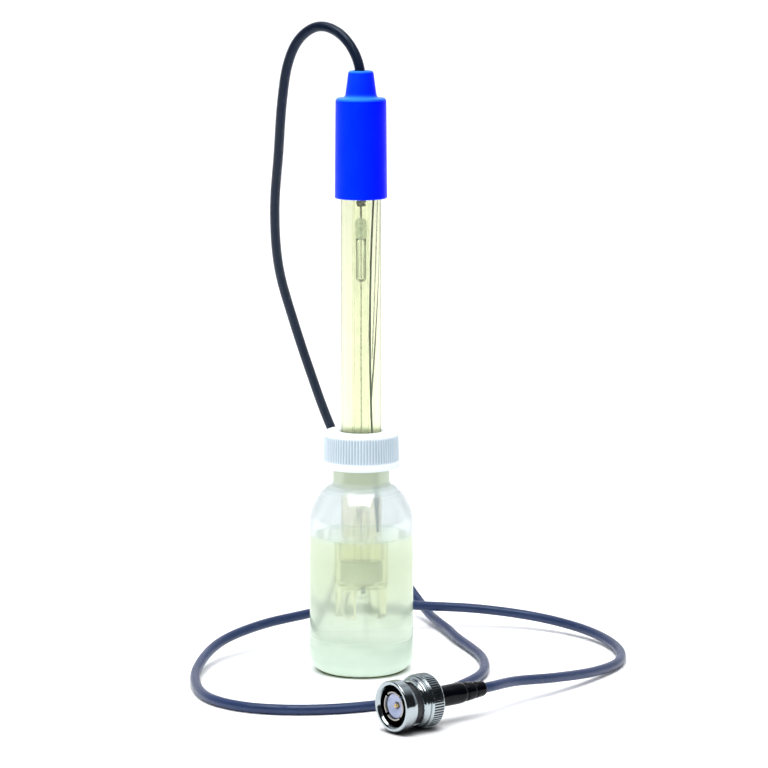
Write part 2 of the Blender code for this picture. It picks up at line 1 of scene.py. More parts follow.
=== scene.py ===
# A pH electrode standing in its storage bottle, with its lead and bayonet plug on a bench.
# Bottle and probe share the Z axis, the bench is z = 0 and the camera looks along +Y.
# The lead leaves the top of the probe, comes down behind the bottle, circles it on the
# bench and ends at the plug in front.
# Pieces are given in mm. Shader distances, the stage and the camera are in metres.
# Outlines of turned pieces are lists of (radius, z).

import math

import bmesh
import bpy
import numpy as np
from mathutils import Matrix, Vector


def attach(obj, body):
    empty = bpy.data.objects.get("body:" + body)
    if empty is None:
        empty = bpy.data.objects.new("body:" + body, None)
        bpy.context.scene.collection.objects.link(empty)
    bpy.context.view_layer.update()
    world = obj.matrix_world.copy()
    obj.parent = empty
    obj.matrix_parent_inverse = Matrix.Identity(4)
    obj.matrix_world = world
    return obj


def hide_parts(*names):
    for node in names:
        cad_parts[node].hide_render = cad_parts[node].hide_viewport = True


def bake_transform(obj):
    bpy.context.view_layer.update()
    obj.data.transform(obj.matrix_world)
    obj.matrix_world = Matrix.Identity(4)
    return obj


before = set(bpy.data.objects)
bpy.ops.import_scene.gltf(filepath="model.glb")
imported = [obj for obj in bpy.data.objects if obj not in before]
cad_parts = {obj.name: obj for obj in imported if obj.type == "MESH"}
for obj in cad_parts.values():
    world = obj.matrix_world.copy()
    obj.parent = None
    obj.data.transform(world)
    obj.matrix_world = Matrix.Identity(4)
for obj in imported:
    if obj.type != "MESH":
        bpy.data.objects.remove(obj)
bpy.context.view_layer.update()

MM = 0.001
TURN = 2 * math.pi
FINE = 160         # steps round a wide turned piece
PROBE_STEPS = 128  # steps round the probe's tube and gel

# ------------------------------------------------------------------ driving sizes
BOTTLE_RADIUS, NECK_RADIUS, WALL = 15.75, 8.6, 1.0
FOOT_ROUNDING, FOOT_CENTRE_Z = 4.7, 4.75
LIQUID_Z = 41.6
THREAD_PITCH, THREAD_START_Z = 3.175, 62.6
LID_BORE = 10.15
TUBE_RADIUS, TUBE_BORE = 6.0, 4.55
STEM_RADIUS, STEM_BORE = 2.0, 1.5
BULB_RADIUS, BULB_WALL, BULB_Z = 2.05, 0.28, 24.6

# the plug is built along Z with its front at 0, then laid along PLUG_AXIS, which
# runs from its front towards the lead
PLUG = Vector((8.3, -79.0, 7.9))
HEADING = math.radians(51.0)        # from +Y towards +X
PLUG_AXIS = Vector((math.sin(HEADING), math.cos(HEADING), 0))
PLUG_MATRIX = Matrix.Translation(PLUG * MM) @ Matrix((
    (0, PLUG_AXIS.y, PLUG_AXIS.x),
    (0, -PLUG_AXIS.x, PLUG_AXIS.y),
    (1, 0, 0),
)).to_4x4()


# ------------------------------------------------------------------ shader helpers
SPREAD = (0.3, 0.7)                 # the range that most noise values fall in
SOLUTION_IOR = 1.333
IMMERSED_Z = 27.2                   # probe parts below this lie in the solution


def scaled(color, factor):
    return tuple(min(1.0, part * factor) for part in color)


class Shader:
    """Builds the node tree of a material or a world."""

    def __init__(self, owner, output="OutputMaterial"):
        owner.use_nodes = True
        self.owner = owner
        self.tree = owner.node_tree
        self.tree.nodes.clear()
        self.output = self.node(output)

    def node(self, kind, *values, **named):
        """A node whose inputs are given in order, by name, or both."""
        made = self.tree.nodes.new("ShaderNode" + kind)
        for i, value in enumerate(values):
            self.put(made, i, value)
        for name, value in named.items():
            self.put(made, name.replace("_", " "), value)
        return made

    def put(self, node, key, value):
        """Links or sets one input, found by name or number."""
        socket = node.inputs[key]
        if isinstance(value, bpy.types.Node):
            value = value.outputs[0]
        if isinstance(value, bpy.types.NodeSocket):
            self.tree.links.new(value, socket)
        else:
            socket.default_value = (*value, 1.0) if socket.type == "RGBA" else value

    def finish(self, surface):
        self.put(self.output, 0, surface)
        return self.owner

    def calc(self, operation, first, second=0.0):
        made = self.node("Math", first, second)
        made.operation = operation
        return made

    def mix(self, share, first, second):
        """Blends two colours; share is that of the second."""
        made = self.tree.nodes.new("ShaderNodeMix")
        made.data_type = "RGBA"
        for key, value in ((0, share), (6, first), (7, second)):
            self.put(made, key, value)
        return made.outputs[2]

    def ramp(self, value, span, to=(0, 1)):
        """Maps the span of a value, clamped, to another range."""
        return self.node("MapRange", value, *span, *to)

    def noise(self, scale, detail, vector=None):
        vector = self.coord() if vector is None else vector
        return self.node("TexNoise", Scale=scale, Detail=detail, Vector=vector)

    def mottle(self, scale, detail, to=(0, 1)):
        return self.ramp(self.noise(scale, detail), SPREAD, to)

    def coord(self, which="Object"):
        return self.node("TexCoord").outputs[which]

    def xyz(self, vector=None):
        vector = self.coord() if vector is None else vector
        return self.node("SeparateXYZ", vector).outputs

    def height(self):
        return self.xyz()[2]

    def normal(self):
        return self.xyz(self.node("NewGeometry").outputs["Normal"])

    def facing(self, blend):
        """Rises from 0 where the surface faces the ray to 1 where it is seen edge on."""
        return self.node("LayerWeight", Blend=blend).outputs["Facing"]

    def radius(self, x, y):
        squares = [self.calc("MULTIPLY", value, value) for value in (x, y)]
        return self.calc("SQRT", self.calc("ADD", *squares))

    def stretch(self, scale):
        return self.node("Mapping", self.coord(), Scale=scale)

    def bump(self, height, strength, distance, **normal):
        return self.node(
            "Bump", Strength=strength, Distance=distance, Height=height, **normal
        )

    def scattering(self, tint, diffuse, painted_glow):
        """Light scattered both ways, and a painted glow: an emission that stands in for light
        wandering in the stuff.
        """
        veil = self.node(
            "MixShader",
            diffuse,
            self.node("BsdfTranslucent", Color=tint),
            self.node("BsdfDiffuse", Color=tint),
        )
        return self.node("AddShader", veil, self.node("Emission", Color=tint, Strength=painted_glow))

    def pass_shadows(self, body, tint):
        """Only tints shadow rays, so that light reaches the pieces behind."""
        path = self.node("LightPath")
        through = self.node("BsdfTransparent", Color=tint)
        return self.node("MixShader", path.outputs["Is Shadow Ray"], body, through)

    def mirror_ray(self):
        """1 for rays that were reflected and not transmitted."""
        path = self.node("LightPath")
        kept = self.calc("SUBTRACT", 1.0, path.outputs["Is Transmission Ray"])
        return self.calc("MULTIPLY", path.outputs["Is Glossy Ray"], kept)


def new_material(name):
    return Shader(bpy.data.materials.new(name))


# ------------------------------------------------------------------ materials
def blue_plastic():
    mat = new_material("v_blue")
    cloud = mat.noise(scale=140, detail=3)
    normal = mat.normal()
    # painted light and shade: the cap is painted lighter where it faces -X and deeper blue where it
    # faces +X
    lit = mat.mix(mat.ramp(cloud, SPREAD), (0.0003, 0.030, 0.88), (0.0005, 0.036, 0.97))
    away = mat.mix(mat.ramp(cloud, SPREAD), (0.0001, 0.0010, 0.86), (0.0002, 0.0016, 0.96))
    color = mat.mix(mat.ramp(normal[0], span=(-0.9, 0.9)), lit, away)
    # painted sheen: the cap is painted paler where it is seen edge on
    painted_rim_sheen = mat.ramp(mat.facing(blend=0.22), span=(0.6, 1.0), to=(0.0, 0.30))
    color = mat.mix(painted_rim_sheen, color, (0.004, 0.12, 1.0))
    # painted highlight: faces that look up, most of all towards -X, are painted paler
    painted_top_highlight = mat.calc(
        "MULTIPLY",
        mat.ramp(normal[2], span=(0.12, 0.80)),
        mat.ramp(normal[0], span=(0.9, -0.3), to=(0.35, 0.85)),
    )
    color = mat.mix(painted_top_highlight, color, (0.030, 0.26, 0.92))
    return mat.finish(mat.node(
        "BsdfPrincipled",
        Base_Color=color,
        Roughness=mat.mottle(scale=900, detail=3, to=(0.30, 0.36)),
        IOR=1.46,
        Specular_IOR_Level=0.10,
        Specular_Tint=(0.05, 0.5, 1.0),
        Subsurface_Weight=0.15,
        Subsurface_Radius=(0.0004, 0.0008, 0.003),
        Subsurface_Scale=1.0,
        Normal=mat.bump(mat.noise(scale=2600, detail=2), strength=0.05, distance=0.00002),
    ))


def clear(name, color, ior, immersed=False, streaked=False, low=None, edge=None):
    """Clear stuff. low is its colour in its lower part; edge is a span of the facing
    value and the colour at its end."""
    mat = new_material(name)
    if immersed:
        # in the solution the index is relative to it
        level, half = IMMERSED_Z * MM, 0.00005
        ior = mat.ramp(mat.height(), (level - half, level + half), (ior / SOLUTION_IOR, ior))
    glass = mat.node("BsdfGlass", Roughness=0.0, IOR=ior)
    if streaked:
        streaks = mat.noise(scale=500, detail=1, vector=mat.stretch((1, 1, 0.03)))
        mat.put(glass, "Normal", mat.bump(streaks, strength=0.015, distance=0.00004))
    body = mat.mix(mat.mottle(scale=300, detail=2), color, scaled(color, 0.99))
    if low is not None:
        # tinted less below the lid, where the view through it is longer
        body = mat.mix(mat.ramp(mat.height(), span=(0.060, 0.072)), low, body)
    if edge is not None:
        # a ray that grazes the wall runs a long way inside it and comes out darker
        span, dark = edge
        body = mat.mix(mat.ramp(mat.facing(blend=0.5), span), body, dark)
    mat.put(glass, "Color", body)
    return mat.finish(mat.pass_shadows(glass, tuple(part**0.5 for part in color)))


def milky(name, outside):
    """Milky polythene. The face on the outside of the wall has a gloss of its own."""
    mat = new_material(name)
    z = mat.height()
    low, surface = (0.012, 0.028), (0.040, 0.044)  # spans of z where the tint changes
    cloud = mat.mottle(scale=160, detail=3)
    cool = mat.mix(cloud, (0.80, 0.90, 0.93), (0.84, 0.925, 0.945))
    warm = mat.mix(cloud, (0.85, 0.93, 0.77), (0.88, 0.95, 0.80))
    warm = mat.mix(mat.ramp(z, low, to=(1, 0)), warm, (0.85, 0.955, 0.88))
    tint = mat.mix(mat.ramp(z, surface), warm, cool)
    tint = mat.mix(mat.ramp(z, span=(0.0560, 0.0590)), tint, (0.68, 0.755, 0.61))

    # clear wall, veiled by light scattered in it
    waves = mat.bump(mat.noise(scale=420, detail=2), strength=0.05, distance=0.0001)
    grain = mat.noise(scale=6000, detail=1)
    wet = mat.mix(mat.ramp(z, low), (0.902, 0.924, 0.898), (0.868, 0.895, 0.842))
    glass = mat.node(
        "BsdfGlass",
        IOR=1.5,
        Roughness=0.105,
        Normal=mat.bump(grain, strength=0.10, distance=0.00001, Normal=waves),
        Color=mat.mix(mat.ramp(z, surface), wet, (0.918, 0.924, 0.922)),
    )
    # more of the veil where the wall is thick, at the neck and near the foot
    thick = mat.calc(
        "ADD",
        mat.ramp(z, span=(0.0545, 0.0585), to=(0.0, 0.50)),
        mat.ramp(z, span=(0.0120, 0.0035), to=(0.0, 0.34)),
    )
    share = mat.calc("ADD", 0.20, thick)
    # the veil's emission is a painted glow that keeps the wall bright
    body = mat.node("MixShader", share, glass, mat.scattering(tint, diffuse=0.45, painted_glow=0.19))
    if outside:
        back = mat.node("NewGeometry").outputs["Backfacing"]
        gloss = mat.ramp(z, span=(0.036, 0.046), to=(0.012, 0.075))
        level = mat.calc("MULTIPLY", mat.calc("SUBTRACT", 1.0, back), gloss)
        grey = mat.node("CombineColor", Red=level, Green=level, Blue=level)
        body = mat.node("AddShader", body, mat.node("BsdfGlossy", Roughness=0.11, Color=grey))
    # close to the foot the corner is solid and dims the light
    solid = mat.ramp(z, span=(0.0030, 0.0065))
    dim = mat.mix(solid, (0.10, 0.11, 0.10), (0.86, 0.88, 0.91))
    return mat.finish(mat.pass_shadows(body, dim))


def lid_plastic():
    mat = new_material("v_lid")
    cloud = mat.mottle(scale=220, detail=3)
    x, y, z = mat.xyz()
    # how far a point lies below the crests of the ribs
    crest = mat.ramp(z, span=(0.0649, 0.0724), to=(0.01150, 0.01132))
    below = mat.calc("SUBTRACT", crest, mat.radius(x, y))
    groove_shade = mat.ramp(below, span=(0.00004, 0.00026))
    on_skirt = mat.calc(
        "MULTIPLY",
        mat.ramp(z, span=(0.0648, 0.0653)),
        mat.ramp(z, span=(0.0728, 0.0722)),
    )
    rims = mat.mix(cloud, (0.80, 0.86, 0.90), (0.83, 0.88, 0.91))
    # painted shade: the ribbed skirt is painted darker than the rims, and darker still down in the
    # grooves
    crests = mat.mix(mat.calc("MULTIPLY", on_skirt, 0.85), rims, (0.66, 0.745, 0.79))
    ribbed = mat.mix(mat.calc("MULTIPLY", groove_shade, on_skirt), crests, (0.46, 0.57, 0.63))
    # painted shade: the skirt is painted darker towards +X
    side = mat.ramp(mat.normal()[0], span=(0.0, 0.8), to=(0, 0.55))
    return mat.finish(mat.node(
        "BsdfPrincipled",
        Base_Color=mat.mix(mat.calc("MULTIPLY", side, on_skirt), ribbed, (0.44, 0.54, 0.64)),
        Roughness=0.38,
        IOR=1.48,
        Subsurface_Weight=0.10,
        Subsurface_Radius=(0.0005, 0.0006, 0.0007),
        Subsurface_Scale=1.0,
        Normal=mat.bump(mat.noise(scale=3800, detail=2), strength=0.08, distance=0.00003),
    ))


def cable_jacket():
    """Rings and a faint braid, drawn from a UV of (mm along, turns round)."""
    mat = new_material("v_cable")
    ring_pitch, braid_pitch, strands = 0.62, 2.2, 8
    ring_height, braid_height, grain_height = 0.55, 0.22, 0.9
    free_run = (0.010, 0.060)       # span of z where the lead leaves the bench

    def wave(angle):
        return mat.calc("SINE", angle)

    def times(value, factor):
        return mat.calc("MULTIPLY", value, factor)

    along, turns = mat.xyz(mat.node("UVMap"))[0:2]
    ring = wave(times(along, TURN / ring_pitch))
    weave = times(*[
        wave(mat.calc(way, times(along, TURN / braid_pitch), times(turns, TURN * strands)))
        for way in ("ADD", "SUBTRACT")
    ])
    grain = times(mat.noise(scale=1800, detail=3), grain_height)
    relief = mat.calc("ADD", times(weave, braid_height), grain)
    relief = mat.calc("ADD", times(ring, ring_height), relief)
    # painted shade: the free run, off the bench, is painted darker than the part that lies on the
    # bench, and given less specular
    color = mat.mix(
        mat.mottle(scale=60, detail=3), (0.013, 0.024, 0.074), (0.019, 0.034, 0.100)
    )
    color = mat.mix(mat.ramp(mat.height(), free_run), color, (0.0045, 0.0090, 0.024))
    return mat.finish(mat.node(
        "BsdfPrincipled",
        Base_Color=color,
        Roughness=mat.mottle(scale=700, detail=3, to=(0.28, 0.38)),
        IOR=1.52,
        Specular_IOR_Level=mat.ramp(mat.height(), free_run, to=(0.45, 0.30)),
        Specular_Tint=(0.70, 0.85, 1.0),
        Normal=mat.bump(relief, strength=0.42, distance=0.00005),
    ))


def metal(name, color, roughness, grain_scale=None):
    """Plated metal; roughness is the range the grain moves it in."""
    mat = new_material(name)
    vector = mat.stretch(grain_scale) if grain_scale else mat.coord()
    grain = mat.noise(scale=900, detail=4, vector=vector)
    blots = mat.mottle(scale=350, detail=3)
    return mat.finish(mat.node(
        "BsdfPrincipled",
        Base_Color=mat.mix(blots, color, scaled(color, 0.93)),
        Metallic=1.0,
        Roughness=mat.ramp(grain, SPREAD, roughness),
        Normal=mat.bump(grain, strength=0.05, distance=0.00003),
    ))


def plain(name, first, second, rough, bump=0.1, scale=900, metallic=0.0, subsurface=0.0,
          specular=0.5, upper=None):
    """Opaque stuff mottled with two colours; upper is a span of z and the colour above it."""
    mat = new_material(name)
    color = mat.mix(mat.mottle(scale=scale / 3, detail=3), first, second)
    if upper:
        span, tint = upper
        color = mat.mix(mat.ramp(mat.height(), span), color, tint)
    grain = mat.noise(scale=scale * 3, detail=3)
    body = mat.node(
        "BsdfPrincipled",
        Base_Color=color,
        Roughness=rough,
        Metallic=metallic,
        Specular_IOR_Level=specular,
        IOR=1.47,
        Normal=mat.bump(grain, strength=bump, distance=0.00004),
    )
    if subsurface:
        mat.put(body, "Subsurface Weight", subsurface)
        mat.put(body, "Subsurface Radius", (0.0010, 0.0011, 0.0013))
        mat.put(body, "Subsurface Scale", 1.0)
    return mat.finish(body)


def cloudy(name, color, through, share):
    """A filling that scatters about this share of the light, tints the rest and has a painted glow.
    """
    mat = new_material(name)
    flecks = mat.ramp(mat.noise(scale=900, detail=4), span=(0.35, 0.65))
    tint = mat.mix(flecks, color, scaled(color, 1.25))
    return mat.finish(mat.node(
        "MixShader",
        mat.mottle(scale=700, detail=4, to=(share - 0.15, share + 0.15)),
        mat.node("BsdfTransparent", Color=through),
        mat.scattering(tint, diffuse=0.5, painted_glow=0.42),
    ))


BLUE = blue_plastic()
MILKY = milky("v_milky_polythene", outside=False)
MILKY_OUTSIDE = milky("v_milky_polythene_outside", outside=True)
SOLUTION = clear("v_solution", (0.985, 0.992, 0.945), ior=SOLUTION_IOR)
# painted light: the solution's top face gets a pale veil with a painted glow
SOLUTION_TOP_PAINTED_LIGHT = cloudy(
    "v_solution_top", (0.80, 0.90, 0.86), through=(0.90, 0.945, 0.92), share=0.14
)
# painted shade: a darker ring where the top face meets the wall, drawing the meniscus's dark outline
MENISCUS_PAINTED_SHADE = cloudy(
    "v_solution_edge", (0.46, 0.60, 0.54), through=(0.86, 0.92, 0.88), share=0.42
)
TUBE = clear(
    "v_tube_plastic", (0.966, 0.972, 0.908), ior=1.50, immersed=True, streaked=True,
    low=(0.980, 0.965, 0.905), edge=((0.66, 0.86), (0.42, 0.46, 0.30)),
)
GEL = clear("v_gel", (0.976, 0.980, 0.938), ior=1.36, low=(0.990, 0.988, 0.955))
GLASS = clear(
    "v_glass", (0.990, 0.996, 0.992), ior=1.50, edge=((0.30, 0.62), (0.16, 0.22, 0.17))
)
BULB = clear("v_bulb_glass", (0.994, 0.998, 0.993), ior=1.47, immersed=True)
GAS = clear("v_gas", (0.999, 0.999, 0.999), ior=0.75)
STEM_LIQUID = clear("v_inner_solution", (0.995, 0.997, 0.99), ior=1.34, immersed=True)
LID = lid_plastic()
CABLE = cable_jacket()
NICKEL = metal("v_nickel", (0.40, 0.455, 0.475), roughness=(0.07, 0.15), grain_scale=(1, 1, 1))
# painted shade: the slot floors and the gaps between the knurls of the nickel sleeve are painted
# near black
RECESS_PAINTED_SHADE = plain(
    "v_recess_painted_shade", (0.008, 0.009, 0.011), (0.020, 0.022, 0.026), rough=0.45, bump=0.2
)
SHELL = metal("v_shell", (0.34, 0.33, 0.30), roughness=(0.12, 0.24), grain_scale=(1, 1, 1))
GOLD = metal("v_gold", (0.98, 0.72, 0.30), roughness=(0.10, 0.18))
STEEL = metal("v_steel", (0.55, 0.55, 0.55), roughness=(0.2, 0.35))
SILVER = metal("v_silver", (0.62, 0.63, 0.60), roughness=(0.22, 0.34))
COPPER = metal("v_copper", (0.85, 0.50, 0.32), roughness=(0.2, 0.35))
PTFE = plain("v_ptfe", (0.36, 0.41, 0.58), (0.44, 0.49, 0.66), rough=0.34, subsurface=0.2)
WHITE = plain(
    "v_core_white", (0.80, 0.83, 0.85), (0.86, 0.88, 0.90), rough=0.45, subsurface=0.2
)
RUBBER = plain("v_rubber", (0.012, 0.012, 0.014), (0.022, 0.022, 0.025), rough=0.55, bump=0.2)
BOOT = plain(
    "v_boot", (0.0008, 0.001, 0.002), (0.0015, 0.002, 0.004),
    rough=0.13, bump=0.08, scale=500, specular=0.12,
)
EPOXY = plain(
    "v_epoxy", (0.40, 0.44, 0.36), (0.70, 0.74, 0.62),
    rough=0.40, bump=0.35, scale=1500, subsurface=0.3,
)
SEAL = cloudy("v_seal_resin", (0.62, 0.68, 0.58), through=(0.88, 0.91, 0.85), share=0.50)
CERAMIC = plain(
    "v_ceramic", (0.94, 0.96, 0.80), (0.97, 0.98, 0.85), rough=0.5, bump=0.15, scale=1200,
    subsurface=0.35, upper=((0.0272, 0.0346), (0.64, 0.70, 0.52)),
)
FRIT = plain(
    "v_frit", (0.16, 0.20, 0.24), (0.24, 0.28, 0.32), rough=0.7, bump=0.4, scale=3000
)
DARK_WIRE = plain(
    "v_chlorided_silver", (0.035, 0.06, 0.055), (0.06, 0.09, 0.08),
    rough=0.5, bump=0.4, scale=2600, metallic=0.4,
)
COAT = plain(
    "v_chloride_coat", (0.14, 0.22, 0.27), (0.22, 0.31, 0.36), rough=0.6, bump=0.4, scale=2600
)
SPLICE = plain(
    "v_splice", (0.07, 0.10, 0.08), (0.16, 0.20, 0.16),
    rough=0.5, bump=0.6, scale=2600, metallic=0.5,
)


# ------------------------------------------------------------------ outlines
def arc(centre, z, radius, start, end, steps=8):
    """Points of an arc in an outline, between two angles in degrees."""
    angles = [math.radians(start + (end - start) * i / steps) for i in range(steps + 1)]
    return [(centre + radius * math.cos(a), z + radius * math.sin(a)) for a in angles]


def rounded(points, radius, steps=4):
    """Rounds the corners of an open outline. radius is one number or one per point."""
    corners = [np.array(point, float) for point in points]
    outline = [tuple(corners[0])]
    for i in range(1, len(corners) - 1):
        corner = corners[i]
        back, ahead = corners[i - 1] - corner, corners[i + 1] - corner
        back_length, ahead_length = np.linalg.norm(back), np.linalg.norm(ahead)
        wanted = radius[i] if isinstance(radius, (list, tuple)) else radius
        reach = min(wanted, back_length * 0.45, ahead_length * 0.45)
        if reach <= 1e-6:
            outline.append(tuple(corner))
            continue
        start = corner + back / back_length * reach
        end = corner + ahead / ahead_length * reach
        for j in range(steps + 1):
            t = j / steps
            outline.append(tuple(start * (1 - t) ** 2 + corner * 2 * t * (1 - t) + end * t * t))
    outline.append(tuple(corners[-1]))
    return outline


def rounded_loop(points, radius, steps=4):
    radii = radius if isinstance(radius, (list, tuple)) else [radius] * len(points)
    wrapped = [points[-1]] + list(points) + [points[0]]
    return rounded(wrapped, [0] + list(radii) + [0], steps)[1:-1]


def dense(profile, step):
    """The same outline with extra points, so that no span is longer than step."""
    out = [profile[0]]
    for start, end in zip(profile, profile[1:]):
        parts = max(1, math.ceil(math.dist(start, end) / step))
        out += [
            (
                start[0] + (end[0] - start[0]) * i / parts,
                start[1] + (end[1] - start[1]) * i / parts,
            )
            for i in range(1, parts + 1)
        ]
    return out


def dense_loop(profile, step):
    return dense(profile + [profile[0]], step)[:-1]


# ------------------------------------------------------------------ surfaces
def angles_round(steps):
    return np.arange(steps) * TURN / steps


def circle(radius, z, steps, x=0.0, y=0.0):
    """A ring of points; radius and z are numbers or one value per step."""
    angles = angles_round(steps)
    columns = [x + radius * np.cos(angles), y + radius * np.sin(angles), z + np.zeros(steps)]
    return np.stack(columns, 1)


def surface_of(rings, closed=False, capped=False):
    """A mesh from equal rings of points. closed joins the last ring to the first."""
    rings = np.asarray(rings, float)
    count, steps = rings.shape[:2]
    verts = (rings.reshape(-1, 3) * MM).tolist()
    faces = []
    for i in range(count if closed else count - 1):
        this, other = i * steps, ((i + 1) % count) * steps
        for j in range(steps):
            k = (j + 1) % steps
            faces.append((this + j, other + j, other + k, this + k))
    if capped:
        centre, last = len(verts), (count - 1) * steps
        verts += [(ring.mean(0) * MM).tolist() for ring in (rings[0], rings[-1])]
        faces += [(centre, j, (j + 1) % steps) for j in range(steps)]
        faces += [(centre + 1, last + (j + 1) % steps, last + j) for j in range(steps)]
    mesh = bpy.data.meshes.new("m")
    mesh.from_pydata(verts, [], faces)
    bm = bmesh.new()
    bm.from_mesh(mesh)
    bmesh.ops.remove_doubles(bm, verts=bm.verts, dist=1e-8)
    bmesh.ops.recalc_face_normals(bm, faces=bm.faces)
    bm.to_mesh(mesh)
    bm.free()
    mesh.validate()
    return mesh


def turned(profile, steps=FINE, shape=None):
    """Turns an outline round Z. It is closed, unless it starts and ends on the axis.
    shape(radius, z, angles) may give each step its own radius."""
    angles = angles_round(steps)
    rings = []
    for radius, z in profile:
        if shape is not None and radius > 1e-6:
            radius = shape(float(radius), float(z), angles)
        rings.append(circle(radius, z, steps))
    on_axis = abs(profile[0][0]) < 1e-9 and abs(profile[-1][0]) < 1e-9
    return surface_of(rings, closed=not on_axis)


def washer(inner, outer, bottom, top, rounding, steps=96):
    corners = [(inner, bottom), (outer, bottom), (outer, top), (inner, top)]
    return turned(rounded_loop(corners, rounding, 2), steps)


def cylinder(radius, bottom, top, sides, x=0.0, y=0.0):
    return surface_of([circle(radius, z, sides, x, y) for z in (bottom, top)], capped=True)


def box(size, centre, turn=0.0):
    """A box, moved to its centre and then turned about Z by degrees."""
    bm = bmesh.new()
    bmesh.ops.create_cube(bm, size=1.0)
    bmesh.ops.scale(bm, verts=bm.verts, vec=[side * MM for side in size])
    bmesh.ops.translate(bm, verts=bm.verts, vec=[place * MM for place in centre])
    turning = Matrix.Rotation(math.radians(turn), 3, "Z")
    bmesh.ops.rotate(bm, verts=bm.verts, matrix=turning)
    mesh = bpy.data.meshes.new("box")
    bm.to_mesh(mesh)
    bm.free()
    return mesh


def lengths_along(points):
    steps = np.linalg.norm(np.diff(points, axis=0), axis=1)
    return np.concatenate([[0], np.cumsum(steps)])


def unwrap(mesh, rings, lengths):
    """UVs of (mm along, turns round), found from each vertex's place.
    A vertex that matches no ring point, such as a cap's centre, gets (0, 0)."""
    layer = mesh.uv_layers.new(name="UVMap")
    sides = len(rings[0])
    points = np.asarray(rings).reshape(-1, 3)
    index = {tuple(np.round(point, 4)): i for i, point in enumerate(points)}
    places = np.array([vertex.co for vertex in mesh.vertices]) / MM
    found = [divmod(index.get(tuple(np.round(place, 4)), 0), sides) for place in places]
    for poly in mesh.polygons:
        corners = [found[mesh.loops[loop].vertex_index] for loop in poly.loop_indices]
        columns = [column for _, column in corners]
        # a face across the seam counts on past the last column
        wraps = max(columns) - min(columns) > sides / 2
        for loop, (ring, column) in zip(poly.loop_indices, corners):
            if wraps and column < sides / 2:
                column += sides
            layer.data[loop].uv = (lengths[ring], column / sides)


def tube_along(points, radius, sides, with_uv=False):
    """A capped round tube whose frame doesn't twist. radius is one number or one per point."""
    path = np.asarray(points, float)
    tangents = np.gradient(path, axis=0)
    tangents /= np.linalg.norm(tangents, axis=1)[:, None]
    helper = [0, 1, 0] if abs(tangents[0][1]) < 0.9 else [1, 0, 0]
    across = np.cross(tangents[0], helper)
    across = across / np.linalg.norm(across)
    radii = np.broadcast_to(np.asarray(radius, float), (len(path),))
    angles = angles_round(sides)
    cos, sin = np.cos(angles)[:, None], np.sin(angles)[:, None]
    rings = []
    for place, tangent, size in zip(path, tangents, radii):
        across = across - tangent * (across @ tangent)
        across /= np.linalg.norm(across)
        other = np.cross(tangent, across)
        rings.append(place + size * (cos * across + sin * other))
    mesh = surface_of(rings, capped=True)
    if with_uv:
        unwrap(mesh, rings, lengths_along(path))
    return mesh


def between(first, second, start, end, t):
    return first * ((end - t) / (end - start)) + second * ((t - start) / (end - start))


def smooth_path(points, spacing):
    """An evenly spaced centripetal Catmull-Rom curve, softened away from its ends."""
    knots = [Vector(point) for point in points]
    knots = [knots[0] * 2 - knots[1]] + knots + [knots[-1] * 2 - knots[-2]]
    fine = []
    for i in range(1, len(knots) - 2):
        four = knots[i - 1 : i + 3]
        times = [0.0]
        for start, end in zip(four, four[1:]):
            times.append(times[-1] + math.sqrt((end - start).length))
        for j in range(24):
            t = times[1] + (times[2] - times[1]) * j / 24
            three = [between(four[k], four[k + 1], times[k], times[k + 1], t) for k in range(3)]
            two = [between(three[k], three[k + 1], times[k], times[k + 2], t) for k in range(2)]
            fine.append(between(*two, times[1], times[2], t))
    fine.append(knots[-2])
    fine = np.array(fine)
    lengths = lengths_along(fine)
    count = int(lengths[-1] / spacing)
    stations = np.linspace(0, lengths[-1], count + 1)
    even = np.stack([np.interp(stations, lengths, fine[:, i]) for i in range(3)], 1)
    # smooth the small wiggles of the given points, ends held
    width, held = 9, 12
    kernel = np.hanning(width + 2)[1:-1]
    kernel /= kernel.sum()
    pad = width // 2
    padded = np.concatenate([even[:1].repeat(pad, 0), even, even[-1:].repeat(pad, 0)])
    soft = np.stack([np.convolve(padded[:, i], kernel, "valid") for i in range(3)], 1)
    order = np.arange(count + 1)
    share = np.clip(np.minimum(order, count - order) / held, 0, 1)[:, None]
    return even * (1 - share) + soft * share


def upright(bottom, top, steps):
    return np.linspace(bottom, top, steps)


# ------------------------------------------------------------------ pieces
def dress(mesh, material, angle):
    mesh.materials.clear()
    mesh.materials.append(material)
    mesh.shade_smooth()
    mesh.set_sharp_from_angle(angle=math.radians(angle))


def cut_away(obj, cutter_mesh):
    """Cuts a closed mesh out of an object's mesh, for good."""
    cutter = bpy.data.objects.new("cut", cutter_mesh)
    bpy.context.scene.collection.objects.link(cutter)
    modifier = obj.modifiers.new("b", "BOOLEAN")
    modifier.operation, modifier.solver, modifier.object = "DIFFERENCE", "EXACT", cutter
    bpy.context.view_layer.update()
    graph = bpy.context.evaluated_depsgraph_get()
    made = bpy.data.meshes.new_from_object(obj.evaluated_get(graph))
    obj.modifiers.clear()
    old = obj.data
    obj.data = made
    bpy.data.objects.remove(cutter)
    bpy.data.meshes.remove(old)


def add(name, mesh, material, slot, body="electrode", replaces=None, matrix=None, angle=40,
        cutters=()):
    """Adds the object v_<name>. It replaces the CAD piece called name, unless replaces
    names another, or is "" for none."""
    obj = bpy.data.objects.new("v_" + name, mesh)
    bpy.context.scene.collection.objects.link(obj)
    if cutters:
        # the cut carries smooth faces and sharp edges over
        dress(mesh, material, angle)
        for cutter in cutters:
            cut_away(obj, cutter)
    if matrix is not None:
        obj.data.transform(matrix)
    dress(obj.data, material, angle)
    if body:
        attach(obj, body)
    if replaces != "":
        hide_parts(replaces or name)
    return obj


def add_plug(name, mesh, material, slot, body="bottle", **more):
    return add(name, mesh, material, slot, body, matrix=PLUG_MATRIX, **more)


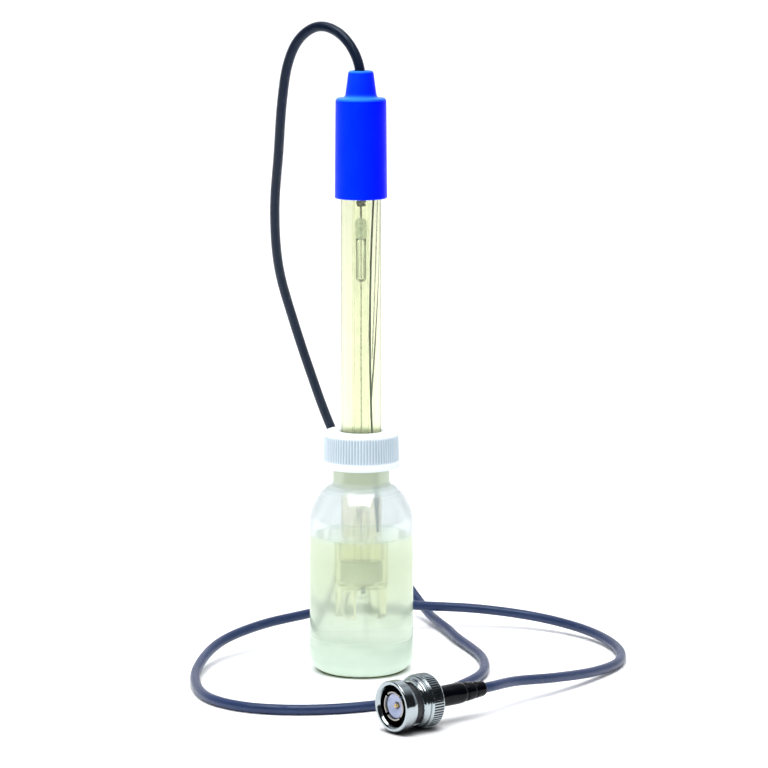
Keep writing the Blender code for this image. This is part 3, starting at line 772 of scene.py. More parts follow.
def thread_ridge(z, angles, start, turns, half_width):
    """Height of a screw ridge at z, from 0 beside it to 1 on its crest."""
    nearest = np.full_like(angles, 9.0)
    for lap in range(3):
        run = angles % TURN + TURN * lap
        gap = np.abs(z - (start + THREAD_PITCH * run / TURN))
        nearest = np.where(run <= TURN * turns, np.minimum(nearest, gap), nearest)
    return np.sqrt(np.clip(1 - (nearest / half_width) ** 2, 0, 1))


def ribs(angles, count, start, span):
    """Ribs round a piece, from 0 between them to 1 on their crests."""
    wave = 0.5 + 0.5 * np.cos(angles * count)
    ridge = np.clip((wave - start) / span, 0, 1)
    return ridge * ridge * (3 - 2 * ridge)


# ------------------------------------------------------------------ storage bottle
def shoulder(inset, steps):
    """The curve from the neck, at its top, down to the straight wall."""
    start, bottom, rise = NECK_RADIUS + 0.55, 47.0, 10.2
    power = 2 / 1.5
    points = []
    for i in range(steps + 1):
        t = math.pi / 2 * i / steps
        radius = start + (BOTTLE_RADIUS - start) * math.sin(t) ** power - inset
        points.append((radius, bottom + rise * math.cos(t) ** power - inset * math.cos(t)))
    return points


def foot_arc(radius, start, end, steps):
    """The rounding between wall and foot, of the bottle or of what lies inside it."""
    return arc(BOTTLE_RADIUS - FOOT_ROUNDING, FOOT_CENTRE_Z, radius, start, end, steps)


def neck_shape(radius, z, angles):
    """One turn and a quarter of thread on the neck."""
    if radius < NECK_RADIUS - 0.3 or not 60.5 <= z <= 69.6:
        return radius
    ridge = thread_ridge(z, angles, THREAD_START_Z, turns=1.25, half_width=0.85)
    return radius + 0.8075 * ridge


def bottle_profile():
    bore = BOTTLE_RADIUS - WALL
    inner = (
        [(0.0, 1.5), (6.5, 1.5), (9.0, 1.05)]
        + foot_arc(FOOT_ROUNDING - WALL, -90, 0, 12)
        + dense([(bore, 7.0), (bore, 46.0)], 3.0)
        + shoulder(WALL, 16)[::-1]
        + [(7.2, 58.0), (7.2, 68.7), (7.9, 69.2), (8.1, 70.05)]
    )
    neck = [
        (NECK_RADIUS - 0.25, 70.05), (NECK_RADIUS, 69.75),
        (NECK_RADIUS, 59.0), (NECK_RADIUS + 0.05, 58.3),
    ]
    outer = (
        dense(neck + shoulder(0.0, 22), 0.9)
        + dense([(BOTTLE_RADIUS, 46.0), (BOTTLE_RADIUS, 6.0)], 2.5)
        + foot_arc(FOOT_ROUNDING, 0, -90, 14)[1:]
        + [(9.0, 0.05), (8.4, 0.12), (7.8, 0.35), (6.5, 0.5), (3.0, 0.55), (0.0, 0.55)]
    )
    # the neck gets five times the points, to carry the thread
    threaded = []
    for start, end in zip(outer, outer[1:]):
        parts = 5 if 60.4 < end[1] < 69.9 else 1
        threaded += [
            (
                start[0] + (end[0] - start[0]) * i / parts,
                start[1] + (end[1] - start[1]) * i / parts,
            )
            for i in range(parts)
        ]
    return inner + threaded + [outer[-1]]


bottle = add(
    "bottle", turned(bottle_profile(), shape=neck_shape), MILKY, "milky_polythene", "bottle"
)
bottle.data.materials.append(MILKY_OUTSIDE)
for poly in bottle.data.polygons:
    outward = poly.normal.x * poly.center.x + poly.normal.y * poly.center.y
    poly.material_index = int(outward > 0)

# ------------------------------------------------------------------ storage solution
# the liquid overlaps the wall a little, and creeps up it and up the probe
LIQUID_RADIUS = BOTTLE_RADIUS - WALL + 0.02
LIQUID_BORE = TUBE_RADIUS - 0.015
CREEP_STEPS = (0.0, 0.08, 0.2, 0.38, 0.6, 0.9, 1.3)


def creep(distance, rise):
    return LIQUID_Z + rise * math.exp(-distance / 0.38)


liquid_profile = (
    [(0.0, 1.48), (6.5, 1.48), (9.0, 1.03)]
    + foot_arc(FOOT_ROUNDING - WALL + 0.02, -90, 0, 12)
    + [(LIQUID_RADIUS, 24.0)]
    + [(LIQUID_RADIUS - step, creep(step, 0.55)) for step in CREEP_STEPS]
    + [(LIQUID_RADIUS - 2.4, LIQUID_Z), (9.2, LIQUID_Z)]
    + [(LIQUID_BORE + step, creep(step, 0.6)) for step in reversed(CREEP_STEPS)]
    + [(LIQUID_BORE, 26.15), (0.0, 26.15)]
)
solution = add(
    "solution", turned(liquid_profile), SOLUTION, "solution", "bottle", "storage_solution"
)
solution.data.materials.append(SOLUTION_TOP_PAINTED_LIGHT)
solution.data.materials.append(MENISCUS_PAINTED_SHADE)
# the top face gets the painted light, its ring at the wall the painted shade
for poly in solution.data.polygons:
    out = math.hypot(poly.center.x, poly.center.y)
    on_top = poly.center.z > (LIQUID_Z - 0.2) * MM
    on_top = on_top and 6.05 * MM < out < (LIQUID_RADIUS - 0.03) * MM
    at_wall = out > (LIQUID_RADIUS - 0.62) * MM
    poly.material_index = (2 if at_wall else 1) if on_top else 0

# ------------------------------------------------------------------ screw lid and its seals
LID_RIBS = 78


def lid_shape(radius, z, angles):
    """Thread in the bore; fine upright ribs on the skirt, fading out at both ends."""
    if abs(radius - LID_BORE) < 0.02 and 63.0 < z < 71.6:
        start = THREAD_START_Z + 0.5 * THREAD_PITCH
        return radius - 0.95 * thread_ridge(z, angles, start, turns=1.2, half_width=0.65)
    if not (64.75 < z < 72.95) or radius < 10.9:
        return radius
    fade = min(1.0, (z - 64.75) / 0.5, (72.95 - z) / 0.7)
    return radius - 0.34 * fade * (1 - ribs(angles, LID_RIBS, start=0.30, span=0.45))


lid_outside = (
    [(6.7, 73.75), (6.95, 74.0), (9.6, 74.0)]
    + arc(9.95, 72.65, 1.35, 90, 0, 9)
    + dense([(11.32, 72.4), (11.42, 68.0), (11.5, 64.9)], 0.45)[1:]
    + [(11.52, 64.7), (11.66, 64.45), (11.74, 64.0), (11.75, 63.3), (11.68, 62.95), (11.4, 62.8)]
)
lid_inside = (
    [(10.5, 62.8), (10.2, 63.05)]
    + dense([(LID_BORE, 63.3), (LID_BORE, 71.5)], 0.16)
    + [(10.05, 71.8), (6.85, 71.8), (6.7, 71.95)]
)
lid_steps = LID_RIBS * 12
lid_mesh = turned(lid_outside + lid_inside, lid_steps, lid_shape)
add("screw_lid", lid_mesh, LID, "white_plastic", "lid", angle=60)

seal_corners = [(9.8, 71.5), (9.8, 70.85), (6.2, 70.85), (6.2, 71.5)]
seal_mesh = turned(rounded_loop(seal_corners, 0.12))
add("seal_washer", seal_mesh, RUBBER, "black_rubber", "lid_seal")
o_ring_mesh = turned(arc(6.95, 69.93, 0.7, 0, 350, 23))
add("o_ring", o_ring_mesh, RUBBER, "black_rubber", "lid_seal")

# ------------------------------------------------------------------ probe tube, guard slotted
SLOT_TURN, SLOT_BOTTOM, SLOT_TOP, SLOT_WIDTH = -73.0, 8.0, 27.4, 6.0


def slot_cutter(turn):
    """A tall slot with an arched top, right across the tube."""
    half = SLOT_WIDTH / 2
    outline = [(-half, SLOT_BOTTOM), (half, SLOT_BOTTOM)] + arc(0, SLOT_TOP - half, half, 0, 180, 20)
    cutter = surface_of([[(x, y, z) for y, z in outline] for x in (-10.0, 10.0)], capped=True)
    cutter.transform(Matrix.Rotation(math.radians(turn), 4, "Z"))
    return cutter


tube_profile = rounded_loop(
    [
        (TUBE_RADIUS, 156.0), (TUBE_RADIUS, 17.0), (4.6, 17.0), (TUBE_BORE, 17.2),
        (TUBE_BORE, 26.6), (4.25, 27.0), (4.25, 34.3), (TUBE_BORE, 34.6), (TUBE_BORE, 156.0),
    ],
    [0.2, 0.45, 0.3, 0.1, 0.1, 0.1, 0.1, 0.1, 0.2],
    5,
)
add(
    "body_tube", turned(dense_loop(tube_profile, 12), PROBE_STEPS), TUBE, "clear_plastic",
    cutters=[slot_cutter(SLOT_TURN + 90 * k) for k in range(2)],
)

# ------------------------------------------------------------------ stem and bulb
stem_corners = [
    (STEM_RADIUS, 150.0), (STEM_RADIUS, 25.46), (STEM_BORE, 25.46), (STEM_BORE, 150.0),
]
stem_profile = dense_loop(rounded_loop(stem_corners, 0.04, 3), 14)
add("stem_tube", turned(stem_profile, 64), BULB, "glass")

bulb_profile = (
    [(0.0, BULB_Z - BULB_RADIUS + BULB_WALL)]
    + arc(0, BULB_Z, BULB_RADIUS - BULB_WALL, -90, 14, 18)[1:]
    + [(1.52, 25.44), (1.99, 25.44)]
    + arc(0, BULB_Z, BULB_RADIUS, 17, -90, 20)[:-1]
    + [(0.0, BULB_Z - BULB_RADIUS)]
)
add("ph_bulb", turned(bulb_profile, 64), BULB, "glass")

# ------------------------------------------------------------------ junction plug and frit
FRIT_X, FRIT_Y = 0.5, -3.25
plug_profile = rounded_loop(
    [(4.28, 34.4), (4.28, 27.9), (3.7, 26.8), (2.05, 26.8), (2.05, 34.4)],
    [0.15, 0.4, 0.5, 0.15, 0.1],
)
add(
    "junction_plug", turned(plug_profile, 96), CERAMIC, "ceramic",
    cutters=[cylinder(0.62, 20, 40, 24, FRIT_X, FRIT_Y)],
)
frit_profile = [(0.0, 34.3), (0.5, 34.3), (0.56, 34.2), (0.56, 25.0), (0.48, 24.85), (0.0, 24.8)]
add(
    "ceramic_junction", turned(frit_profile, 24), FRIT, "ceramic",
    matrix=Matrix.Translation((FRIT_X * MM, FRIT_Y * MM, 0)),
)

# ------------------------------------------------------------------ inside the stem
wire = [
    (0.04 * math.sin(z / 9.0), 0.03 * math.cos(z / 7.0), z) for z in upright(23.4, 141.6, 120)
]
add("inner_wire", tube_along(wire, 0.18, 12), SILVER, "silver", replaces="inner_silver_wire")

capillary_profile = (
    [(0.82, 132.3), (0.86, 132.4), (1.08, 132.4), (1.12, 132.3), (1.12, 120.6)]
    + arc(0, 120.4, 1.12, 5, -62, 9)
    + [(0.36, 119.35), (0.28, 119.6)]
    + arc(0, 120.5, 0.80, -62, 5, 8)
    + [(0.80, 121.0)]
)
add("wire_capillary", turned(dense_loop(capillary_profile, 3), 64), GLASS, "glass")

resin_profile = [
    (0.3, 132.35), (1.2, 132.35), (1.28, 132.6), (1.28, 136.9),
    (1.2, 137.8), (0.9, 138.25), (0.3, 138.45),
]
add("capillary_seal", turned(rounded_loop(resin_profile, 0.2, 3), 48), SEAL, "epoxy")

# the gas sealed in the capillary, seen as a change of index
gas_profile = (
    [(0.2, 131.9), (0.81, 131.9), (0.81, 121.0)]
    + arc(0, 120.5, 0.81, -5, -62, 8)
    + [(0.2, 119.8)]
)
add("capillary_gas", turned(dense_loop(gas_profile, 3), 64), GAS, "glass", replaces="")


# the joint in the wire: a lump with two twisted ends
def splice_shape(radius, z, angles):
    return radius * (1 + 0.16 * np.sin(3 * angles + z * 5.0) + 0.08 * np.sin(7 * angles))


splice_profile = [
    (0.0, 144.2), (0.62, 144.2), (0.95, 143.9), (1.02, 143.4),
    (0.9, 142.9), (1.05, 142.4), (0.7, 141.95), (0.0, 141.8),
]
splice_mesh = turned(rounded(splice_profile, 0.2, 3), 32, splice_shape)
add("wire_splice", splice_mesh, SPLICE, "silver_chloride")
for k in range(2):
    strand = [
        (0.17 * math.cos(z * 5.2 + math.pi * k), 0.17 * math.sin(z * 5.2 + math.pi * k), z)
        for z in upright(138.6, 141.95, 40)
    ]
    strand_mesh = tube_along(strand, 0.11, 10)
    add(f"twist_{k}", strand_mesh, DARK_WIRE, "silver_chloride", replaces="")
conductor = [(0, 0, z) for z in (144.4, 152, 159.3)]
add("signal_conductor", tube_along(conductor, 0.25, 16), COPPER, "copper")

# the liquid inside the stem, overlapping the glass; it only shows as a change of index
FILL_RADIUS = BULB_RADIUS - 0.265
fill_profile = (
    [(0.0, 146.2), (1.2, 146.2), (1.515, 146.6), (1.515, 25.5)]
    + arc(0, BULB_Z, FILL_RADIUS, 18, -90, 14)[:-1]
    + [(0.0, BULB_Z - FILL_RADIUS)]
)
add("stem_solution", turned(dense(fill_profile, 12), 64), STEM_LIQUID, "glass", replaces="")


# ------------------------------------------------------------------ reference side, in the gel
def bowed(xs, ys, bottom, top, steps):
    """A parabola through three points, at the bottom, halfway up and at the top."""
    points = []
    for i in range(steps + 1):
        t = i / steps
        weights = ((1 - t) * (1 - 2 * t), 4 * t * (1 - t), t * (2 * t - 1))
        x, y = (sum(w * part for w, part in zip(weights, parts)) for parts in (xs, ys))
        points.append((x, y, bottom + (top - bottom) * t))
    return points


# the wire's lower end carries a thick rough coat, thinner towards both ends
COAT_TOP = 60
coated = smooth_path(
    [
        (3.7, 0.35, 42.5), (3.58, 0.3, 48.0), (3.4, 0.0, 54.0),
        (3.15, -0.8, 61.0), (2.9, -1.7, 68.0), (2.72, -2.4, 75.0),
    ],
    0.6,
)
bare = bowed((2.72, 2.28, 3.34), (-2.4, -2.5, -1.6), 75.0, 149.5, 60)
reference = np.vstack([coated[:-1], bare])
heights = reference[:, 2]
reference_radii = np.interp(
    heights,
    [42.5, 43.2, 48, 53, 56.5, 58.5, 62],
    [0.22, 0.36, 0.52, 0.70, 0.66, 0.36, 0.26],
)
roughening = 0.07 * np.sin(heights * 3.1) + 0.05 * np.sin(heights * 7.3)
reference_radii = reference_radii * (1 + np.where(heights < COAT_TOP, roughening, 0))
reference_mesh = tube_along(reference, reference_radii, 18)
reference_wire = add("reference_wire", reference_mesh, DARK_WIRE, "silver_chloride")
reference_wire.data.materials.append(COAT)
for poly in reference_wire.data.polygons:
    poly.material_index = int(poly.center.z < COAT_TOP * MM)

return_wire = bowed((2.6, 3.3, 3.75), (-1.2, -0.3, 0.4), 96.0, 149.5, 50)
add(
    "reference_return", tube_along(return_wire, 0.15, 12), SILVER, "silver",
    replaces="reference_return_wire",
)
gel_profile = [(4.57, 146.0), (4.57, 34.55), (4.27, 34.32), (1.985, 34.32), (1.985, 146.0)]
gel_mesh = turned(dense_loop(gel_profile, 10), PROBE_STEPS)
add("reference_gel", gel_mesh, GEL, "reference_gel")

# ------------------------------------------------------------------ blue cap and its filling
cap_profile = (
    [(1.95, 180.4), (2.3, 182.2), (2.5, 182.42), (3.0, 182.5)]
    + arc(2.95, 181.6, 0.88, 84, 6, 6)
    + [(4.6, 175.9), (4.72, 175.2), (4.95, 174.78), (5.4, 174.52), (6.3, 174.48)]
    + arc(6.5, 173.35, 1.1, 88, 2, 8)
    + dense([(7.62, 172.9), (7.83, 146.2)], 4)[1:]
    + [(7.86, 145.4), (7.86, 144.9), (7.80, 144.55), (7.55, 144.4), (6.5, 144.4)]
    + [(6.3, 144.6), (6.3, 156.4), (5.0, 157.4), (5.0, 167.0), (1.8, 169.0)]
)
add("probe_cap", turned(cap_profile), BLUE, "blue_plastic", angle=50)

potting_profile = [
    (0.0, 163.4), (1.15, 163.35), (2.6, 163.1), (4.7, 163.4), (4.7, 157.6), (0.0, 157.6),
]
add("cap_potting", turned(potting_profile, 64), EPOXY, "epoxy")
add(
    "core_probe_end", cylinder(0.85, 163.45, 165.6, 32), WHITE, "core_insulation",
    replaces="cable_core_probe_end",
)
pigtail = [
    (3.34, -1.6, 150.0), (3.34, -1.6, 157.0), (3.34, -1.6, 163.6),
    (2.95, -1.4, 164.6), (1.58, -0.75, 165.4),
]
add("shield_pigtail", tube_along(pigtail, 0.3, 12), COPPER, "copper")

# ------------------------------------------------------------------ lead
# (x, y, z) stations from the probe's cap to the plug
ROUTE = [
    (0, 0, 166), (0, 0, 174), (0, 0, 181), (-0.6, 0.4, 184.6), (-2.7, 1.9, 189.3),
    (-6.7, 4.6, 193.7), (-12.6, 8, 195.5), (-18.5, 12, 191.5), (-22, 16, 184),
    (-24, 21, 172), (-25.3, 28, 156), (-26.8, 36.3, 137), (-25.8, 43.8, 118.4),
    (-21.5, 51, 100.9), (-16, 57.5, 82.6), (-10.9, 63.2, 67.2), (-4.95, 69, 52.6),
    (1.1, 74, 37.8), (6.5, 77.5, 25.2), (11.5, 78, 15.4), (15.9, 75, 9), (19.3, 70, 5.2),
    (22, 62.5, 3.1), (24.8, 54, 2.4), (27.6, 44.5, 2.1), (30.2, 33.5, 1.9), (33.9, 22, 1.6),
    (37.3, 7, 1.55), (36.6, -12, 1.55), (30, -27, 1.55), (19, -42, 1.55), (4, -52, 1.55),
    (-14, -57, 1.55), (-32, -54.5, 1.55), (-44, -44, 1.55), (-49.5, -25, 1.7),
    (-49, -5, 3.2), (-43, 13, 5.8), (-31, 26, 8), (-17, 35.5, 9.2), (0, 47, 10.6),
    (18, 54, 7.8), (38, 57, 6), (57, 52.5, 4.2), (72, 39, 2.8), (79.8, 20, 1.8),
    (79, 2, 1.6), (70.5, -14.5, 2.5), (57, -32, 4.8), (44.5, -45, 6.9),
]
ROUTE += [tuple(PLUG + PLUG_AXIS * distance) for distance in (37.0, 31.0, 25.6)]
cable_mesh = tube_along(smooth_path(ROUTE, 1.2), 1.5, 28, with_uv=True)
cable = add("cable", cable_mesh, CABLE, "slate_pvc", body=None)
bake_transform(cable)

# ------------------------------------------------------------------ bayonet sleeve
KNURLS = 60
SLOT_START, SLOT_SPAN = math.radians(10), math.radians(130)
SLOT_FLOOR = 5.98
GROOVE_START = math.radians(-20)


def bore_grooves(radius, angles):
    """Two short grooves in the bore, opposite each other."""
    out = radius
    for k in range(2):
        offset = (angles - GROOVE_START - math.pi * k + math.pi) % TURN - math.pi
        groove = np.clip((1.25 - np.abs(offset) * 6.0) / 0.15, 0, 1)
        out = np.maximum(out, radius + groove * 0.35)
    return out


def bayonet_slots(radius, z, angles):
    """Two helical slots round the waist, each ending in a round seat."""
    out = radius
    for k in range(2):
        run = (angles - SLOT_START - math.pi * k) % TURN
        t = np.clip(run / SLOT_SPAN, 0, 1)
        front = 3.1 + 1.6 * t**0.9
        back = front + 3.0 - 0.2 * t
        depth = np.clip((z - front) / 0.22, 0, 1) * np.clip((back - z) / 0.22, 0, 1)
        from_seat = np.hypot((run - SLOT_SPAN) * 6.4, z - (front + back) / 2)
        seat = np.clip((1.45 - from_seat) / 0.25, 0, 1)
        depth = np.maximum(np.where(run < SLOT_SPAN, depth, 0), seat)
        out = np.minimum(out, radius - depth * (radius - SLOT_FLOOR))
    return out


def sleeve_shape(radius, z, angles):
    if 5.2 < radius < 5.76 and 2.2 < z < 6.5:
        return bore_grooves(radius, angles)
    if 9.75 < z < 13.3 and radius > 7.3:
        # knurl at the back
        fade = min(1.0, (z - 9.75) / 0.22, (13.3 - z) / 0.22)
        return radius - 0.42 * fade * (1 - ribs(angles, KNURLS, start=0.22, span=0.5))
    if radius >= 5.9 and 2.4 < z < 8.0:
        return bayonet_slots(radius, z, angles)
    return radius


def in_recess(poly):
    """Whether a face lies on a slot's floor or between the knurls."""
    x, y, z = poly.center / MM
    out = math.hypot(x, y)
    return (5.9 < out < 6.35 and 2.6 < z < 8.0) or (7.3 < out < 7.56 and 9.85 < z < 13.2)


sleeve_profile = rounded(
    [
        (5.75, 11.8), (5.75, 0.95), (6.1, 0.32), (6.45, 0.04), (7.09, 0.0), (7.34, 0.3),
        (7.34, 3.0), (7.17, 3.9), (6.62, 5.0), (6.5, 6.9), (6.72, 7.6), (7.05, 7.8),
        (7.22, 8.2), (7.22, 8.75), (7.05, 8.85), (7.05, 9.0), (7.5, 9.12), (7.55, 9.5),
        (7.78, 9.72), (7.78, 13.32), (7.5, 13.7), (7.1, 13.9), (6.0, 13.9), (5.35, 13.25),
        (4.6, 13.2), (4.6, 11.8), (5.2, 11.8),
    ],
    0.09,
    3,
)
sleeve_profile = dense(sleeve_profile, 0.14)
sleeve_mesh = turned(sleeve_profile, KNURLS * 16, sleeve_shape)
recessed = [in_recess(poly) for poly in sleeve_mesh.polygons]
sleeve = add_plug(
    "bayonet_sleeve", sleeve_mesh, NICKEL, "nickel", "coupling_sleeve", angle=45
)
# faces in the slots and between the knurls get the painted shade
sleeve.data.materials.append(RECESS_PAINTED_SHADE)
for poly, dark in zip(sleeve.data.polygons, recessed):
    poly.material_index = int(dark)

# ------------------------------------------------------------------ plug shell and contacts
shell_profile = rounded_loop(
    [
        (3.75, 0.9), (4.2, 0.9), (4.3, 1.2), (4.3, 8.2), (5.45, 8.2), (5.45, 9.3), (4.25, 9.3),
        (4.25, 13.2), (3.95, 13.2), (3.95, 14.0), (4.25, 14.0), (4.25, 15.4), (1.95, 15.4),
        (1.95, 21.5), (1.6, 21.5), (1.6, 15.0), (2.75, 14.0), (2.75, 8.6), (3.75, 8.0),
    ],
    0.07,
    2,
)
add_plug(
    "plug_shell", turned(shell_profile, 96), SHELL, "nickel",
    cutters=[box((12, 0.8, 6.6), (0, 0, 3.1), 45 + 90 * k) for k in range(2)],
)
dielectric_profile = rounded_loop(
    [
        (3.55, 1.55), (3.2, 1.5), (0.95, 2.4), (0.95, 13.6), (2.45, 13.6), (2.45, 8.35),
        (3.55, 7.75),
    ],
    [0.15, 0.1, 0.2, 0.1, 0.1, 0.1, 0.1],
    3,
)
add_plug("plug_dielectric", turned(dielectric_profile, 96), PTFE, "ptfe")
pin_profile = [
    (0.0, 1.2), (0.2, 1.23), (0.4, 1.4), (0.55, 1.7), (0.66, 2.2), (0.68, 9.0),
    (0.85, 9.0), (0.85, 13.4), (0.45, 13.4), (0.45, 11.0), (0.0, 11.0),
]
add_plug("contact_pin", turned(pin_profile, 48), GOLD, "gold_plate")
gasket_mesh = turned(arc(4.95, 7.55, 0.42, 0, 340, 17), 96)
add_plug("plug_gasket", gasket_mesh, RUBBER, "black_rubber")
centre_profile = [(0.0, 11.3), (0.22, 11.3), (0.22, 17.6), (0.0, 17.6)]
add_plug("centre_conductor", turned(centre_profile, 16), COPPER, "copper")
core_profile = [(0.0, 17.9), (0.5, 17.9), (0.5, 13.9), (0.9, 13.9), (0.9, 25.2), (0.0, 25.2)]
add_plug(
    "core_plug_end", turned(core_profile, 32), WHITE, "core_insulation",
    replaces="cable_core_plug_end",
)
braid_profile = [(1.1, 15.6), (1.35, 15.6), (1.35, 25.3), (1.1, 25.3)]
add_plug("cable_braid", turned(braid_profile, 32), COPPER, "copper")
add_plug("crimp_ferrule", washer(2.15, 2.5, 15.75, 22.2, 0.08, 64), STEEL, "nickel")


# ------------------------------------------------------------------ strain boot
def boot_shape(radius, z, angles):
    """Shrunk sleeving: slightly uneven round the ferrule and the lead."""
    if radius < 2.2:
        return radius
    swell = 0.012 * np.sin(2 * angles + z * 0.35)
    return radius * (1 + swell + 0.006 * np.sin(5 * angles - z * 0.8))


boot_profile = rounded(
    [
        (2.75, 15.8), (2.95, 15.8), (3.1, 16.1), (3.05, 24.9), (2.98, 26.0), (2.6, 26.7),
        (2.66, 27.1), (2.82, 27.4), (2.66, 29.9), (2.32, 30.5), (2.36, 30.8), (2.5, 31.0),
        (2.34, 33.8), (2.1, 34.3), (1.75, 34.3), (1.75, 22.8), (2.75, 22.4),
    ],
    0.25,
)
add_plug("strain_boot", turned(dense(boot_profile, 0.8), 96, boot_shape), BOOT, "shrink_sleeve")

# ------------------------------------------------------------------ spring, washer and ring
SPRING_STEPS = 120
wave = 9.95 + 0.3 * np.sin(3 * angles_round(SPRING_STEPS))
spring_section = ((4.55, -0.125), (5.5, -0.125), (5.5, 0.125), (4.55, 0.125))
spring_rings = [circle(radius, wave + offset, SPRING_STEPS) for radius, offset in spring_section]
add_plug("wave_spring", surface_of(spring_rings, closed=True), STEEL, "spring_steel")
thrust_mesh = washer(4.55, 5.5, 11.2, 11.6, 0.06)
add_plug("thrust_washer", thrust_mesh, STEEL, "spring_steel", "thrust_ring")
add_plug(
    "retaining_ring", washer(4.1, 5.15, 13.35, 13.85, 0.06), STEEL, "spring_steel",
    cutters=[box((6, 2.0, 4), (-5, 0, 13.6))],
)


# ------------------------------------------------------------------ stage: floor
def floor_material():
    mat = new_material("floor_white")
    # painted shadow: the floor is painted dark under the rounded foot of the bottle, where hardly
    # any light gets in
    x, y = mat.xyz()[0:2]
    radius = mat.radius(x, y)
    foot = mat.ramp(radius, span=(0.0126, 0.0146), to=(1, 0))
    wide = mat.ramp(radius, span=(0.0140, 0.0200), to=(0.16, 0))
    # and painted dark under the plug as well
    from_x = mat.calc("SUBTRACT", x, PLUG.x * MM)
    from_y = mat.calc("SUBTRACT", y, PLUG.y * MM)

    def crossed(operation, x_factor, y_factor):
        parts = ((from_x, x_factor), (from_y, y_factor))
        return mat.calc(operation, *[mat.calc("MULTIPLY", *part) for part in parts])

    along = crossed("ADD", PLUG_AXIS.x, PLUG_AXIS.y)
    across = mat.calc("ABSOLUTE", crossed("SUBTRACT", PLUG_AXIS.y, PLUG_AXIS.x))
    under = mat.calc(
        "MULTIPLY",
        mat.ramp(along, span=(-0.0012, 0.0010)),
        mat.ramp(along, span=(0.0132, 0.0165), to=(1, 0)),
    )
    under = mat.calc("MULTIPLY", under, mat.ramp(across, span=(0.0012, 0.0062), to=(0.92, 0)))
    shade = mat.calc("MAXIMUM", foot, wide)
    # the painted shadow colours, mixed into the white of the sheet
    white = mat.mix(shade, (0.94, 0.94, 0.945), (0.085, 0.085, 0.035))
    sheet = mat.node("BsdfDiffuse", Color=mat.mix(under, white, (0.03, 0.03, 0.035)))
    # in reflections the sheet ends to the sides and in front, and the room beyond is dark
    x, y = mat.xyz()[0:2]
    aside = mat.calc("MULTIPLY", mat.calc("ABSOLUTE", x), 0.40)
    beyond = mat.ramp(mat.calc("SUBTRACT", aside, y), span=(0.17, 0.26))
    seen = mat.calc("MULTIPLY", mat.mirror_ray(), beyond)
    dark = mat.node("BsdfDiffuse", Color=(0.02, 0.022, 0.03))
    return mat.finish(mat.node("MixShader", seen, sheet, dark))


def sweep_floor():
    """A white sweep: the bench, curving up into the backdrop."""
    half_width, bend_start, bend = 6.0, 1.6, 1.2
    profile = [(-6.0, 0.0), (bend_start, 0.0)]  # (y, z)
    profile += [
        (bend_start + bend * math.sin(t), bend - bend * math.cos(t))
        for t in np.linspace(0.05, math.pi / 2, 24)
    ]
    profile += [(bend_start + bend, 5.0)]
    verts = [(x, y, z) for y, z in profile for x in (-half_width, half_width)]
    faces = [(2 * i, 2 * i + 1, 2 * i + 3, 2 * i + 2) for i in range(len(profile) - 1)]
    mesh = bpy.data.meshes.new("sweep")
    mesh.from_pydata(verts, [], faces)
    mesh.shade_smooth()
    floor = bpy.data.objects.new("floor", mesh)
    bpy.context.scene.collection.objects.link(floor)
    mesh.materials.append(floor_material())


sweep_floor()


# ------------------------------------------------------------------ lights
def area(name, size, place, target, power, color, glossy=False):
    """A rectangular light aimed at a target; only a glossy one shows in reflections."""
    light = bpy.data.lights.new(name, "AREA")
    light.shape = "RECTANGLE"
    light.size, light.size_y = size
    light.energy, light.color = power, color
    obj = bpy.data.objects.new(name, light)
    bpy.context.scene.collection.objects.link(obj)
    obj.location = place
    aim = Vector(target) - Vector(place)
    obj.rotation_euler = aim.to_track_quat("-Z", "Y").to_euler()
    obj.visible_glossy = glossy


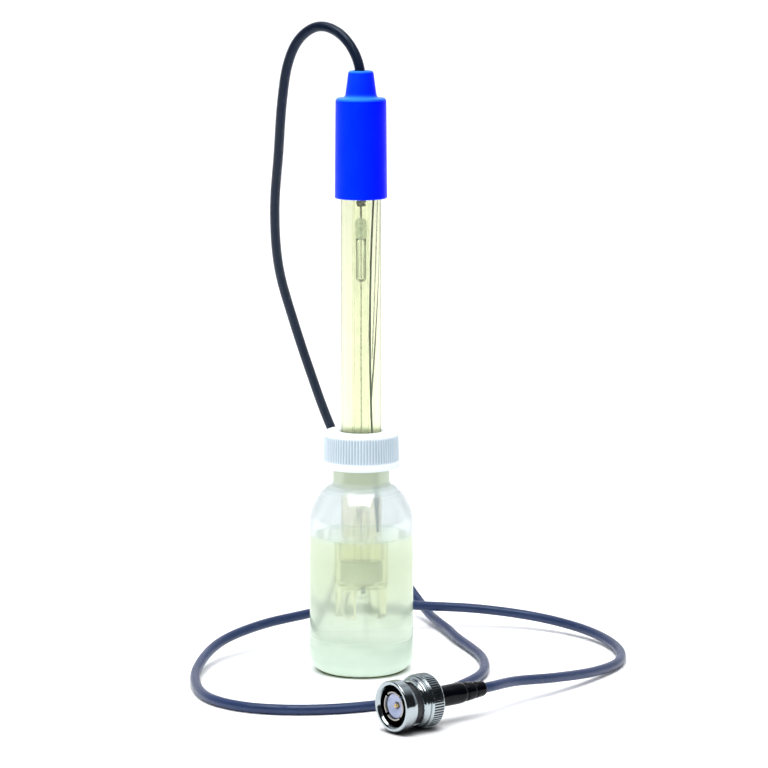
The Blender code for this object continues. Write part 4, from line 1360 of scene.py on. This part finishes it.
area(
    "key_overhead", size=(1.35, 1.25), place=(-0.05, -0.42, 1.62), target=(0, 0, 0),
    power=29, color=(1.0, 0.99, 0.975), glossy=True,
)
area(
    "back_wash", size=(3.0, 1.5), place=(0, 1.2, 3.2), target=(0, 2.0, 0.6),
    power=46, color=(1, 1, 1),
)
area(
    "side_left", size=(0.5, 1.1), place=(-1.3, -0.5, 0.9), target=(0, 0, 0.08),
    power=3, color=(0.95, 0.97, 1.0),
)
area(
    "side_right", size=(0.5, 1.1), place=(1.35, -0.2, 0.8), target=(0, 0, 0.08),
    power=1, color=(0.95, 0.97, 1.0),
)

# ------------------------------------------------------------------ world
scene = bpy.context.scene
scene.world = bpy.data.worlds.new("room")
room = Shader(scene.world, "OutputWorld")
# a soft fill, brighter from the left
side = room.xyz(room.coord("Generated"))[0]
fill = room.node(
    "Background",
    Color=(0.90, 0.93, 1.0),
    Strength=room.ramp(side, span=(-0.8, 0.8), to=(0.66, 0.42)),
)
# shiny pieces see a room that is bright behind and dark towards the camera
depth = room.xyz(room.coord("Generated"))[1]
mirrored = room.node(
    "Background",
    Color=(0.88, 0.93, 1.0),
    Strength=room.ramp(depth, span=(0.0, 0.40), to=(0.03, 0.90)),
)
room.finish(room.node("MixShader", room.mirror_ray(), fill, mirrored))

# ------------------------------------------------------------------ camera
CAMERA_DISTANCE, CAMERA_HEIGHT = 1.0, 0.240
AIM_HEIGHT = 0.08806                # where the view meets y = 0, before the yaw
YAW = -0.0068868515                 # radians about Z, a little to the right

lens = bpy.data.cameras.new("camera")
lens.lens, lens.sensor_width, lens.sensor_fit = 156.97, 36.0, "HORIZONTAL"
lens.clip_start, lens.clip_end = 0.05, 50
camera = bpy.data.objects.new("camera", lens)
scene.collection.objects.link(camera)
pitch = math.atan2(CAMERA_HEIGHT - AIM_HEIGHT, CAMERA_DISTANCE)
view = Vector((0, math.cos(pitch), -math.sin(pitch)))
view.rotate(Matrix.Rotation(YAW, 3, "Z"))
camera.location = (0, -CAMERA_DISTANCE, CAMERA_HEIGHT)
camera.rotation_euler = view.to_track_quat("-Z", "Y").to_euler()
scene.camera = camera

# ------------------------------------------------------------------ render settings
scene.view_settings.view_transform = "Standard"
scene.view_settings.look = "None"
scene.view_settings.exposure = 0.0
scene.view_settings.gamma = 1.0
cycles = scene.cycles
cycles.max_bounces = 48
cycles.transmission_bounces = 44
cycles.transparent_max_bounces = 24
cycles.glossy_bounces = 6
cycles.diffuse_bounces = 5
cycles.caustics_reflective = False
cycles.caustics_refractive = True
cycles.sample_clamp_indirect = 4.0
cycles.blur_glossy = 0.5
